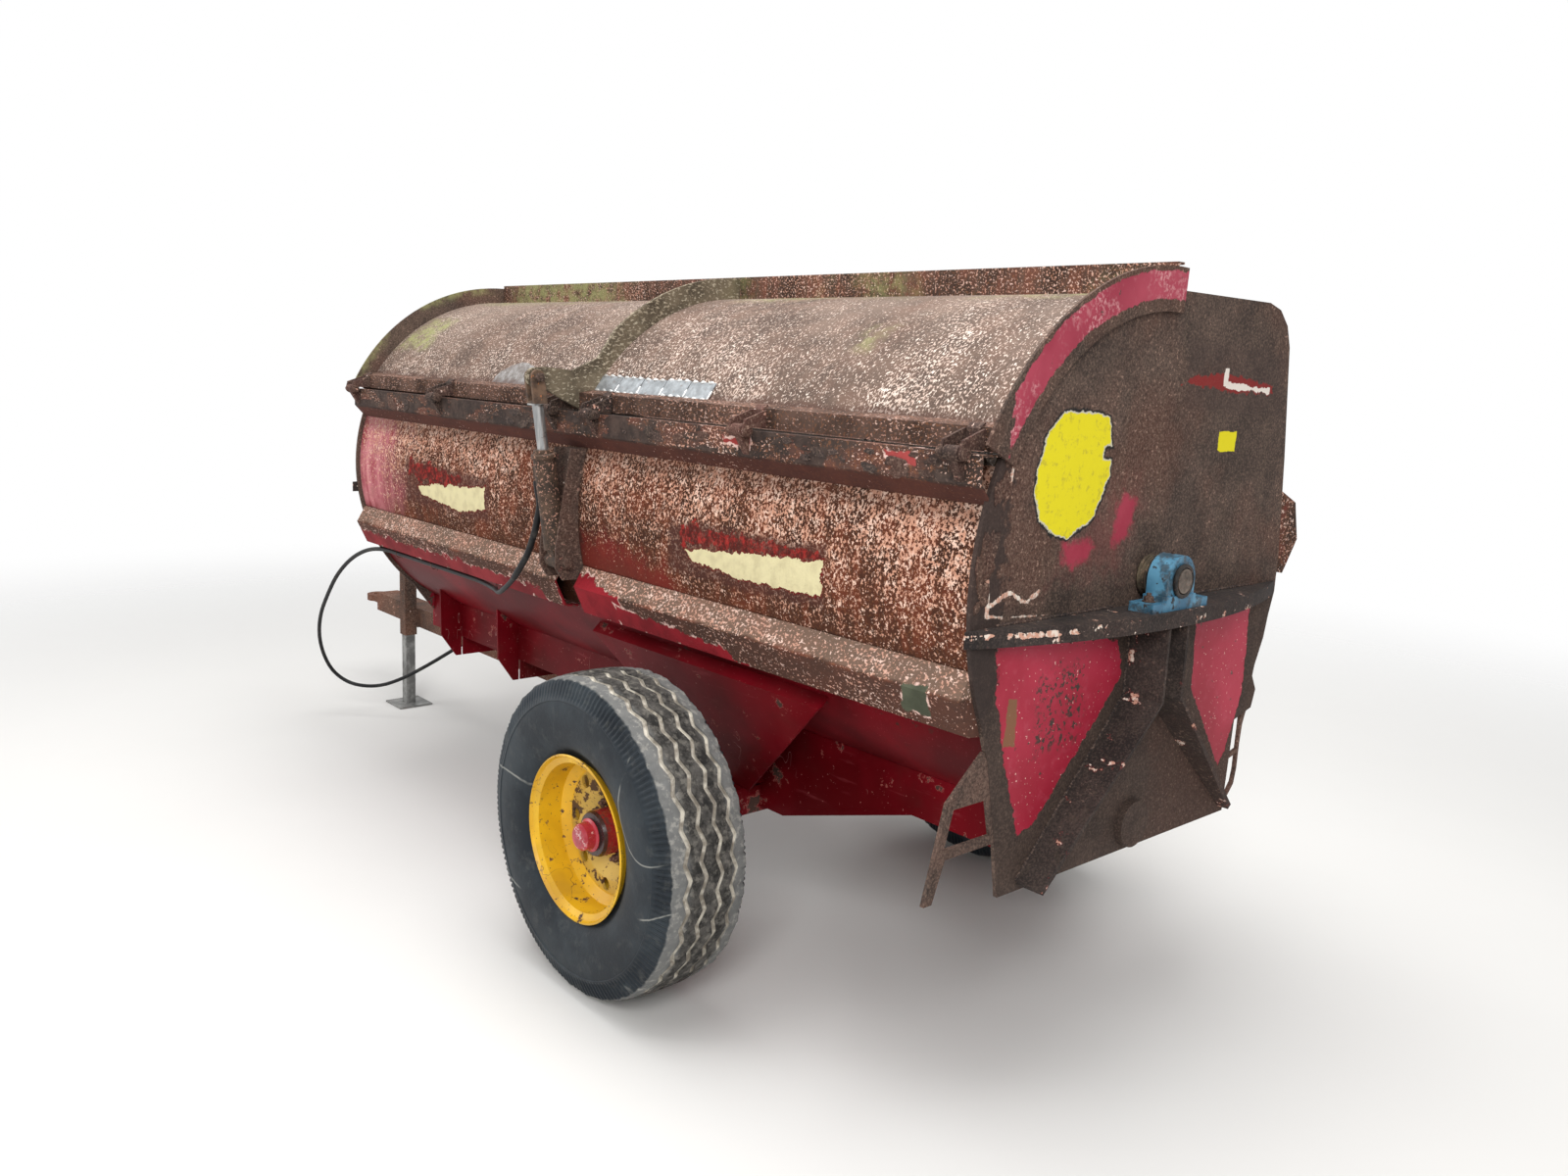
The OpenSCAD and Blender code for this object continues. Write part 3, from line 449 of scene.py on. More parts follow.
def tornPatches(f):
    # where paper was pasted: dark surround, red smear, torn pale remains; nothing is written on them
    wave = f.noise(26, 4, 0.7) - 0.5
    broad = f.noise(9, 3, 0.6) - 0.5
    for surround, smear, remains in (
        ([(-1.85, 1.24), (-1.13, 1.235), (-1.13, 1.42), (-1.85, 1.45)],
         [(-1.82, 1.36), (-1.45, 1.33), (-1.34, 1.385), (-1.60, 1.43), (-1.80, 1.435)],
         [(-1.735, 1.335), (-1.69, 1.298), (-1.38, 1.264), (-1.17, 1.296), (-1.168, 1.402), (-1.30, 1.385),
          (-1.60, 1.345)]),
        ([(-0.05, 1.228), (0.66, 1.235), (0.66, 1.432), (-0.05, 1.42)],
         [(0.0, 1.335), (0.30, 1.345), (0.63, 1.365), (0.62, 1.402), (0.02, 1.40)],
         [(0.055, 1.320), (0.080, 1.292), (0.32, 1.274), (0.634, 1.276), (0.640, 1.375), (0.36, 1.352),
          (0.12, 1.334)]),
    ):
        around = (f.inside(f.along, f.z, surround) + broad * 0.06).fade(0.0, 0.03)
        red = (f.inside(f.along, f.z, smear) + broad * 0.09 + wave * 0.10).fade(0.0, 0.004)
        depth = f.inside(f.along, f.z, remains) + wave * 0.045 + broad * 0.015
        yield around * 0.75, red * (0.8 + wave * 1.2), depth.fade(-0.005, -0.001), depth.fade(0.0, 0.0012)


def lidFinish():
    look = {"unrolled": True, "seamUp": False, "size": 155, "stretch": (1, 0.7, 1), "streak": (16, 4, 4), "red": 0.35,
            "dark": (0.092, 0.062, 0.049), "base": (0.160, 0.108, 0.083), "warm": (0.180, 0.100, 0.074),
            "fleck": (0.27, 0.19, 0.15), "flake": (0.62, 0.47, 0.39), "flakePale": (0.92, 0.79, 0.69),
            "strength": 0.88}
    f = flaked("lid_weathered", look)
    rise = f.z - rotorZ
    hazy = f.noise(1.5, 3, 0.6).fade(0.42, 0.62) * rise.fade(0.42, 0.62)
    f.coat(hazy * 0.55, (0.240, 0.178, 0.143))
    cover = f.cover + 0.012 - rise.fade(0.60, 0.72) * 0.02 + (0.5 - rise) * 0.10
    height = flakesOn(f, cover)
    green = ragged(f, 0.16 - ((f.along + 2.15).size() * 0.9).most((rise - 0.57).size() * 2), 6, 0.20, 0.10)
    lesser = ragged(f, 0.05 - ((f.along - 0.50).size() * 0.7).most((rise - 0.58).size()), 9, 0.10, 0.06) * 0.6
    top = rise.fade(0.695, 0.72) * 0.6 * f.noise(2, 2).fade(0.42, 0.6)
    mossOn(f, green.most(lesser).most(top), 0.95)
    # a spot ground bare in front of the arm and the soot along the hinged edge
    across, up = (f.along + 1.13) / 0.155, (rise - 0.395) / 0.078
    bare = ragged(f, 1 - (across * across + up * up), 17, 0.5, 0.12)
    f.coat(bare * 0.85, f.mottled((30, 4, 0.7), (0.4, 0.6), (0.18, 0.165, 0.155), (0.36, 0.355, 0.35)))
    soot = ragged(f, 0.415 - rise, 14, 0.05, 0.02)
    f.coat(soot * 0.6, (0.085, 0.040, 0.030))
    within = f.fromRotor().fade(lidRadius - 0.004, lidRadius - 0.0055)
    caked = f.mottled((6, 5, 0.66), (0.36, 0.64), (0.040, 0.027, 0.021), (0.125, 0.085, 0.062))
    caked = f.mix(f.noise(34, 4, 0.7).fade(0.54, 0.62) * 0.6, caked, (0.19, 0.145, 0.10))
    f.coat(within, caked)
    return f.done(0.86 - bare * 0.35, 0.0, height, 0.0014)


plateLook = {
    "dark": (0.050, 0.035, 0.029), "base": (0.102, 0.069, 0.055), "warm": (0.118, 0.054, 0.038),
    "grit": (0.215, 0.145, 0.112), "pits": 0.75,
}


def heavyPlate(name, look):
    # heavy dark plate: brown-black with rusty clouds, runs, grit and fine pale pits
    f = Finish(name)
    look = {**plateLook, **look}
    f.patch = f.noise(8, 6, 0.66)
    f.fine = f.noise(95, 4, 0.62)
    broad = f.noise(2.2, 4, 0.6)
    run = f.noise(1, 4, 0.62, f.stretched((30, 30, 1.6)))
    f.colour = f.mix(f.patch.fade(0.32, 0.68), look["dark"], look["base"])
    f.coat(broad.fade(0.42, 0.62) * 0.65, look["warm"])
    f.coat(run.fade(0.52, 0.70) * 0.15, (0.135, 0.100, 0.066))
    grit = f.noise(165, 3, 0.65)
    f.coat(grit.fade(0.50, 0.62) * 0.5, look["grit"])
    f.coat(grit.fade(0.46, 0.36) * 0.6, (0.022, 0.017, 0.015))
    pit = f.fine.fade(0.575, 0.66) * (broad * 0.5 + f.patch * 0.5).fade(0.44, 0.56)
    f.coat(pit * look["pits"], (0.42, 0.27, 0.205))
    return f, f.patch * 0.8 + f.fine * 0.3


def rearPlateFinish():
    f, height = heavyPlate("end_plate_rust", {})
    outer = (f.along - rearAlong).fade(-0.003, -0.001)
    coarse = f.noise(17, 4, 0.68) - 0.5
    sharp = f.noise(48, 4, 0.7) - 0.5
    red = f.mottled((3.6, 3), (0.35, 0.7), (0.33, 0.016, 0.036), (0.47, 0.032, 0.066))
    red = f.mix(f.noise(30, 3, 0.6).fade(0.50, 0.75) * 0.25, red, (0.52, 0.10, 0.14))
    red = f.mottled((120, 2, 0.6), (0.695, 0.72), red, tones["flakePale"])
    red = f.mottled((27, 5, 0.72), (0.655, 0.67), red, (0.075, 0.045, 0.036))

    def keep(corners, wobble, soft=0.003):
        return (f.inside(f.y, f.z, corners) + coarse * wobble * 0.6 + sharp * wobble * 0.4).fade(0.0, soft)

    # red enamel left below the shelf on both sides of the stiffener, with a pitted spot and a khaki scratch
    left = keep([(-0.470, 0.74), (-0.420, 0.745), (-0.17, 0.99), (-0.066, 1.10), (-0.10, 1.20), (-0.61, 1.25),
                 (-0.60, 1.13), (-0.545, 0.94)], 0.055)
    right = keep([(0.505, 0.735), (0.535, 0.78), (0.60, 0.94), (0.604, 1.04), (0.592, 1.22), (0.288, 1.20),
                  (0.30, 1.01)], 0.04)
    pitted = (0.13 - ((f.y + 0.335).size() * 1.1).most((f.z - 1.05).size()) + coarse * 0.10).fade(0.0, 0.05)
    below = left.most(right) * (shelfZ - 0.036 - f.z).fade(-0.008, 0.0)
    mark = f.inside(f.y, f.z, [(-0.556, 0.985), (-0.508, 0.978), (-0.512, 1.10), (-0.548, 1.105)])
    red = f.mix((mark + sharp * 0.02).fade(0.0, 0.003) * 0.85, red, (0.20, 0.115, 0.050))
    red = f.mix(pitted * f.noise(70, 3, 0.7).fade(0.53, 0.58), red, (0.05, 0.035, 0.030))
    # two rubbed red places above the shelf
    spots = keep([(-0.336, 1.394), (-0.266, 1.414), (-0.232, 1.456), (-0.278, 1.492), (-0.388, 1.485), (-0.409, 1.447),
                  (-0.382, 1.409)], 0.11, 0.03)
    spots = spots.most(keep([(-0.188, 1.443), (-0.105, 1.448), (-0.078, 1.509), (-0.067, 1.571), (-0.144, 1.605),
                             (-0.177, 1.555)], 0.11, 0.03))
    rub = keep([(-0.46, 1.34), (-0.10, 1.32), (0.02, 1.55), (-0.04, 1.68), (-0.20, 1.66), (-0.45, 1.46)], 0.30, 0.16)
    f.coat(rub * outer * 0.4, (0.22, 0.060, 0.055))
    f.coat(spots * outer * 0.9, f.mix(f.noise(14, 3), (0.34, 0.024, 0.052), (0.46, 0.06, 0.10)))
    # elsewhere below the shelf the plate is darker
    f.coat((shelfZ - f.z).fade(0.0, 0.05) * outer * 0.5, (0.038, 0.026, 0.022))
    f.coat(below * outer, red)
    # torn plain patch, small patch and streak, with nothing written on them
    torn = f.inside(f.y, f.z, [(-0.366, 1.486), (-0.282, 1.518), (-0.242, 1.571), (-0.215, 1.634), (-0.205, 1.690),
                               (-0.230, 1.775), (-0.324, 1.790), (-0.420, 1.786), (-0.478, 1.732), (-0.506, 1.650),
                               (-0.510, 1.600), (-0.485, 1.535), (-0.428, 1.497)])
    notch = f.inside(f.y, f.z, [(-0.245, 1.672), (-0.15, 1.672), (-0.15, 1.705), (-0.245, 1.705)])
    torn = torn.least(-notch) * 14 + coarse * 0.36 + sharp * 0.26
    f.coat(torn.fade(-0.16, -0.09) * outer, tones["black"])
    f.coat(torn.fade(-0.06, -0.02) * outer, (0.62, 0.58, 0.46))
    faded = f.mix(f.noise(34, 5, 0.72).fade(0.52, 0.66) * 0.5, tones["yellow"], (0.40, 0.33, 0.05))
    f.coat(torn.fade(0.0, 0.03) * outer, faded)
    small = keep([(0.302, 1.692), (0.330, 1.684), (0.396, 1.686), (0.400, 1.744), (0.302, 1.742)], 0.024, 0.002)
    f.coat(small * outer, tones["yellow"])
    dull = keep([(0.10, 1.79), (0.66, 1.77), (0.66, 1.97), (0.10, 2.0)], 0.08, 0.02)
    f.coat(dull * outer * 0.35, (0.055, 0.036, 0.032))
    smear = keep([(0.10, 1.868), (0.30, 1.852), (0.58, 1.848), (0.58, 1.872), (0.34, 1.902), (0.14, 1.892)], 0.085)
    f.coat(smear * outer * 0.8, (0.27, 0.022, 0.022))
    pale = keep([(0.295, 1.864), (0.322, 1.862), (0.322, 1.914), (0.300, 1.916)], 0.03, 0.002)
    pale = pale.most(keep([(0.31, 1.860), (0.56, 1.850), (0.56, 1.866), (0.31, 1.878)], 0.045, 0.002))
    f.coat(pale * outer, (0.86, 0.78, 0.70))
    # crust and pale scratches along the left edge
    crust = (f.y + 0.605 + coarse * 0.17 + sharp * 0.05).fade(0.012, -0.012) * (f.z - 1.02).fade(0.0, 0.1)
    f.coat(crust * 0.8, f.mix(f.noise(40, 3), (0.020, 0.015, 0.015), (0.055, 0.038, 0.033)))
    bars = keep([(-0.664, 1.312), (-0.643, 1.309), (-0.656, 1.405), (-0.675, 1.400)], 0.030)
    bars = bars.most(keep([(-0.664, 1.311), (-0.594, 1.304), (-0.596, 1.314), (-0.664, 1.324)], 0.026))
    bars = bars.most(keep([(-0.568, 1.304), (-0.416, 1.295), (-0.416, 1.300), (-0.568, 1.309)], 0.030))
    wave = (f.z - 1.352 + (f.y * 46).sine() * 0.012 + coarse * 0.03).size()
    wavy = (0.0062 - wave + sharp * 0.022).fade(0.0, 0.002) * (f.y + 0.655).fade(0.0, 0.01)
    bars = bars.most(wavy * (f.y + 0.465).fade(0.01, 0.0))
    bars = bars.most(keep([(-0.615, 1.60), (-0.595, 1.62), (-0.595, 1.68), (-0.605, 1.66)], 0.03))
    f.coat(bars * outer, f.mottled((60, 3, 0.7), (0.4, 0.6), tones["flake"], (0.86, 0.76, 0.66)))
    return f.done(0.82 - below * outer * 0.38, 0.0, height * (1 - below * 0.7) + crust * (f.patch + 0.4), 0.0026)


ironLook = {"chips": 0.66, "chipSize": 19, "halo": (0.26, 0.035, 0.035), "depth": 0.002}


def darkIron(name, changes):
    # dark plate with pale chips, and paint where a noise lies above a level
    look = {**ironLook, **changes}
    f, height = heavyPlate(name, look)
    chips = f.noise(look["chipSize"], 5, 0.70)
    level = look["chips"]
    if "paint" in look:
        hold = f.noise(look["paintSize"], 6, 0.70) + look["paintMore"](f)
        keep = hold.fade(look["paint"], look["paint"] + 0.012)
        f.coat(keep, look["paintTone"])
    halo = chips.fade(level - 0.03, level)
    f.coat(halo * 0.6, look["halo"])
    pale = f.mottled((70, 3), (0.42, 0.6), tones["flake"], (0.82, 0.70, 0.60))
    chip = chips.fade(level, level + 0.008)
    if "flakier" in look:           # a run of cream flakes where the look says
        chip = chip.most((chips + look["flakier"](f)).fade(level, level + 0.008))
    f.coat(chip, pale)
    return f.done(0.84, 0.0, height + chip * 0.3, look["depth"])


def redPaint(name, wear, dustiness):
    # enamel that has kept its red: dusty, scratched, rusting from its chips
    f = Finish(name)
    broad = f.noise(2.2, 4, 0.55)
    chips = f.noise(9, 6, 0.70)
    scratch = f.noise(1, 3, 0.6, f.stretched((5, 70, 40)))
    hairs = (f.noise(5.5, 3, 0.55, f.stretched((1, 1.4, 0.6))) - 0.5).size().fade(0.0022, 0.0006)
    f.colour = f.mix(broad.fade(0.35, 0.68), tones["paintDeep"], tones["paint"])
    f.coat(scratch.fade(0.62, 0.74) * 0.22, tones["paintFaded"])
    f.coat(hairs * f.noise(7, 2).fade(0.56, 0.62) * 0.6, (0.50, 0.27, 0.25))
    grime = f.noise(3.3, 4, 0.62).fade(0.50, 0.72) * 0.35
    f.coat(grime, (0.055, 0.020, 0.016))
    f.coat(chips.fade(wear - 0.02, wear), (0.36, 0.10, 0.085))
    f.coat(chips.fade(wear, wear + 0.010), (0.070, 0.040, 0.032))
    f.coat(f.noise(110, 3, 0.6).fade(0.69, 0.72) * 0.7, (0.50, 0.22, 0.19))
    dust = f.noise(4, 3, 0.6).fade(0.45, 0.8) * dustiness
    f.coat(dust, (0.17, 0.105, 0.085))
    rough = 0.40 + chips.fade(wear, wear + 0.02) * 0.45 + dust * 0.8 + grime * 0.4
    return f.done(rough, 0.0, chips.fade(wear, wear + 0.03) * -0.6 + broad * 0.5, 0.0010, shine=0.07)


def railFinish(name, look):
    # folded rails: each look says how the upper face, the ridge and the lower face differ
    f = flaked(name, look)
    wobbly = f.noise(13, 5, 0.68) - 0.5
    cover = f.cover
    if "ledge" in look:             # the face above this height is painted paler and greyer, a painted highlight of the light from above, and takes more pale grains
        top = (f.z + wobbly * 0.02 - look["ledge"]).fade(-0.004, 0.006)
        f.coat(top * 0.6, (0.225, 0.150, 0.110))
        cover = cover + top * look["ledgeCover"]
    if "foot" in look:              # the face below this height is painted darker, a painted shade over the face's own rust tone, and takes fewer pale grains
        low = (f.z + wobbly * 0.02 - look["foot"]).fade(0.004, -0.006)
        cover = cover - low * look["footCover"]
        f.coat(low * 0.75, look["footShadeTone"])
    height = flakesOn(f, cover)
    if "crust" in look:
        hold = f.noise(4.5, 5, 0.62, f.stretched((1, 2.2, 2.2))) + look["crustMore"](f)
        hold = hold.fade(look["crust"], look["crust"] + 0.012) * (f.z - look["crustAbove"]).fade(0.0, 0.01)
        edge = f.noise(30, 3).fade(0.35, 0.7)
        f.coat(hold * 0.93, f.mix(edge, (0.034, 0.024, 0.021), (0.072, 0.049, 0.040)))
        height = height * (1 - hold * 0.6) + hold * (0.8 + f.patch)
    for corners, tone, wobble in look.get("remains", ()):
        depth = f.inside(f.along, f.z, corners) + wobbly * wobble
        f.coat(depth.fade(0.0, 0.004), f.mix(f.patch.fade(0.35, 0.65), tone, tuple(c * 0.6 for c in tone)))
        f.coat(depth.size().fade(0.005, 0.002) * f.noise(25, 3).fade(0.5, 0.6), (0.80, 0.55, 0.48))
    if "moss" in look:
        mask = f.noise(1.9, 3, 0.6).fade(look["moss"], look["moss"] + 0.12)
        if "mossNear" in look:      # a greener stretch about this place
            mask = mask.most((f.along - look["mossNear"]).size().fade(0.45, 0.20))
        mossOn(f, mask, look["mossy"])
    return f.done(0.85, 0.0, height, look.get("depth", 0.0016))


def bandFinish():
    # end bands of the lid: rear one red inside a rusty border, front one mossy
    f, height = heavyPlate("lid_band", {"dark": (0.040, 0.029, 0.024), "base": (0.105, 0.070, 0.054)})
    r = f.fromRotor()
    wave = (f.noise(22, 4, 0.7) - 0.5) * 0.036 + (f.noise(70, 3, 0.7) - 0.5) * 0.014
    border = ((r - (barrelRadius + 0.010)).least(barrelRadius + 0.084 - r) + wave * 0.7).fade(0.0, 0.003)
    ends = (f.y + 0.635 + wave * 1.6).fade(0.0, 0.004)
    rear = f.along.fade(0.0, 0.1)
    red = f.mottled((5, 3), (0.35, 0.7), (0.32, 0.028, 0.056), (0.45, 0.060, 0.098))
    bloom = f.noise(7, 4, 0.65).fade(0.44, 0.62)
    red = f.mix(bloom * f.noise(95, 3, 0.65).fade(0.46, 0.62) * 0.8, red, (0.72, 0.36, 0.37))
    red = f.mottled((32, 5, 0.72), (0.665, 0.68), red, (0.085, 0.045, 0.036))
    keep = border * ends * rear
    f.coat(keep, red)
    mossOn(f, (1 - rear) * f.noise(3, 3).fade(0.42, 0.56) * (r - barrelRadius - 0.05).fade(0.0, 0.05), 0.7)
    return f.done(0.82 - keep * 0.4, 0.0, height * (1 - keep * 0.75), 0.0016)


def bareMetal(name, tone, marks, rough):
    f = Finish(name)
    swirl = f.noise(38, 5, 0.7)
    f.colour = f.mix(swirl.fade(0.35, 0.7), tuple(c * 0.6 for c in tone), tone)
    f.coat(f.noise(60, 3, 0.6).fade(0.60, 0.70) * marks, tones["rustOrange"])
    return f.done(rough + swirl * 0.25, 0.7, swirl, 0.0005, shine=0.5)


def yellowFinish():
    # the well keeps its yellow; the disc flakes to brown round its holes
    f = Finish("rim_yellow")
    r = f.fromWheel()
    chips = f.noise(21, 6, 0.70)
    disc = r.fade(0.196, 0.185) * (f.y.size() - (wheelY - 0.035)).fade(0.0, 0.002)
    ring = (r - 0.168).size().fade(0.055, 0.030)
    wear = chips + disc * 0.055 + disc * ring * 0.03
    f.colour = f.mottled((6, 3), (0.35, 0.7), (0.63, 0.34, 0.010), (0.84, 0.50, 0.016))
    f.coat(disc * 0.55, (0.56, 0.43, 0.14))
    f.coat(wear.fade(0.60, 0.615), (0.33, 0.17, 0.05))
    f.coat(wear.fade(0.615, 0.63), (0.060, 0.034, 0.026))
    f.coat(f.noise(110, 2).fade(0.67, 0.70) * 0.7, (0.12, 0.06, 0.03))
    runs = (f.noise(6, 3, 0.55) - 0.5).size().fade(0.004, 0.001) * f.noise(4, 2).fade(0.52, 0.60)
    f.coat(runs * 0.8, (0.12, 0.06, 0.025))
    grime = f.noise(4, 3, 0.6).fade(0.48, 0.75) * 0.4 + disc * 0.15
    f.coat(grime, (0.22, 0.13, 0.035))
    rough = 0.36 + wear.fade(0.60, 0.62) * 0.45 + grime * 0.5
    return f.done(rough, 0.0, wear.fade(0.60, 0.63) * -0.5, 0.0009, shine=0.4)


def hubFinish():
    f = Finish("hub_red")
    r = f.fromWheel()
    out = f.y.size() - wheelY
    f.colour = f.mottled((8, 3), (0.35, 0.7), (0.17, 0.010, 0.014), (0.34, 0.020, 0.028))
    cap = (out - 0.0785).fade(0.0, 0.002)
    f.coat(cap, f.mottled((11, 3), (0.4, 0.6), (0.34, 0.018, 0.034), (0.52, 0.040, 0.065)))
    pale = (f.noise(17, 4, 0.65) - 0.5).size().fade(0.014, 0.005) * f.noise(23, 2).fade(0.53, 0.60)
    f.coat(pale * cap * 0.85, (0.80, 0.62, 0.60))
    dirt = f.noise(34, 4, 0.7).fade(0.50, 0.64) * (1 - cap * 0.8)
    f.coat(dirt * 0.7, (0.060, 0.040, 0.034))
    ring = (out - 0.060).fade(0.0, 0.003) * (1 - cap) * r.fade(0.0, 0.01)
    f.coat(ring * 0.9, tones["black"])
    return f.done(0.26 + dirt * 0.45, 0.0, f.noise(20, 3), 0.0007, 0.15, shine=0.4)


def tyreFinish():
    # the piece's own attribute says what a point is: 0 sidewall, about 0.5 rib, 1 groove
    f = Finish("tyre_rubber")
    mark = f.node("ShaderNodeAttribute", {"attribute_name": "treadMark"}, {}, "Fac")
    side = f.mottled((7, 5, 0.6), (0.35, 0.7), (0.011, 0.015, 0.020), (0.026, 0.034, 0.041))
    dusty = f.noise(20, 5, 0.7).fade(0.52, 0.72)
    side = f.mix(dusty * 0.25, side, (0.14, 0.14, 0.13))
    # pale scuffs: long thin arcs where a slow noise passes even steps
    thin = ((f.noise(1.3, 0.6, 0.4) * 8).fraction() - 0.5).size().fade(0.020, 0.006)
    side = f.mix(thin * f.noise(7, 3).fade(0.50, 0.60) * 0.6, side, (0.36, 0.36, 0.33))
    wear = f.noise(24, 5, 0.72)
    outer = (f.y.size() - wheelY).size().fade(0.060, 0.095)     # 1 on the shoulders
    rib = f.mix(wear.fade(0.36, 0.66), (0.020, 0.019, 0.018), (0.096, 0.090, 0.082))
    pale = f.noise(46, 4, 0.66).fade(0.50, 0.64)
    rib = f.mix(pale * (0.25 + outer * 0.6), rib, (0.36, 0.335, 0.29))
    rib = f.mix(outer * 0.55, rib, (0.25, 0.255, 0.25))
    silt = f.mottled((34, 4), (0.36, 0.66), (0.26, 0.23, 0.19), (0.62, 0.58, 0.50))
    f.colour = f.mix(mark.fade(0.15, 0.45), side, rib)
    f.coat(mark.fade(0.60, 0.80), silt)
    rough = 0.50 + mark.fade(0.15, 0.45) * 0.36 + dusty * 0.1
    return f.done(rough, 0.0, f.noise(60, 5, 0.7) * 0.7 + dusty * 0.3, 0.0014)


def blueFinish():
    f = Finish("bearing_blue")
    chips = f.noise(40, 5, 0.68)
    f.colour = f.mottled((12, 3), (0.35, 0.7), (0.040, 0.145, 0.245), (0.115, 0.31, 0.46))
    f.coat(chips.fade(0.60, 0.62), (0.035, 0.040, 0.045))
    oily = (f.noise(16, 4, 0.65).fade(0.46, 0.58) * 0.75).most(f.fromRotor().fade(0.046, 0.040))
    f.coat(oily, f.mix(chips.fade(0.45, 0.6), (0.020, 0.022, 0.024), (0.075, 0.065, 0.058)))
    return f.done(0.40 + chips.fade(0.58, 0.64) * 0.35, 0.0, chips, 0.0008, shine=0.35)


def rodFinish():
    # bright rod; its fork above is brown and oily
    f = Finish("rod_bright")
    streak = f.noise(1, 3, 0.6, f.stretched((60, 60, 4)))
    low = f.mix(streak.fade(0.4, 0.7), (0.27, 0.275, 0.28), (0.50, 0.495, 0.48))
    top = (f.z - forkZ).fade(0.0, 0.003)
    rust = f.mottled((26, 5, 0.68), (0.38, 0.66), (0.060, 0.038, 0.027), (0.175, 0.105, 0.066))
    rust = f.mottled((48, 4, 0.7), (0.62, 0.65), rust, (0.40, 0.15, 0.06))
    worn = (f.noise(22, 4, 0.7).fade(0.60, 0.68) * 0.7).most(top)
    f.colour = f.mix(worn, low, rust)
    return f.done(0.28 + top * 0.5, 0.75 - top * 0.75, streak, 0.0003, shine=0.4)


greasyLook = {"specks": 0.5, "speck": tones["flake"], "rough": 0.6, "metal": 0.1}


def greasyIron(name, changes):
    # ram barrel, rotor, jack: brown-black, scoured or oily
    f = Finish(name)
    look = {**greasyLook, **changes}
    patch = f.noise(17, 5, 0.65)
    f.colour = f.mix(patch.fade(0.36, 0.66), look["dark"], look["light"])
    speck = f.noise(120, 3, 0.6).fade(0.56, 0.64) * f.noise(9, 3).fade(0.42, 0.60)
    f.coat(speck * look["specks"], look["speck"])
    run = f.noise(1, 3, 0.6, f.stretched((40, 40, 3))).fade(0.55, 0.7)
    f.coat(run * 0.4, tones["black"])
    return f.done(look["rough"], look["metal"], patch, 0.0012)


def hoseFinish():
    f = Finish("hose_rubber")
    dust = f.noise(16, 4, 0.7).fade(0.48, 0.72)
    f.colour = f.mix(dust * 0.4, (0.012, 0.012, 0.013), (0.13, 0.12, 0.105))
    return f.done(0.46 + dust * 0.3, 0.0, f.noise(210, 2, 0.5), 0.0004)


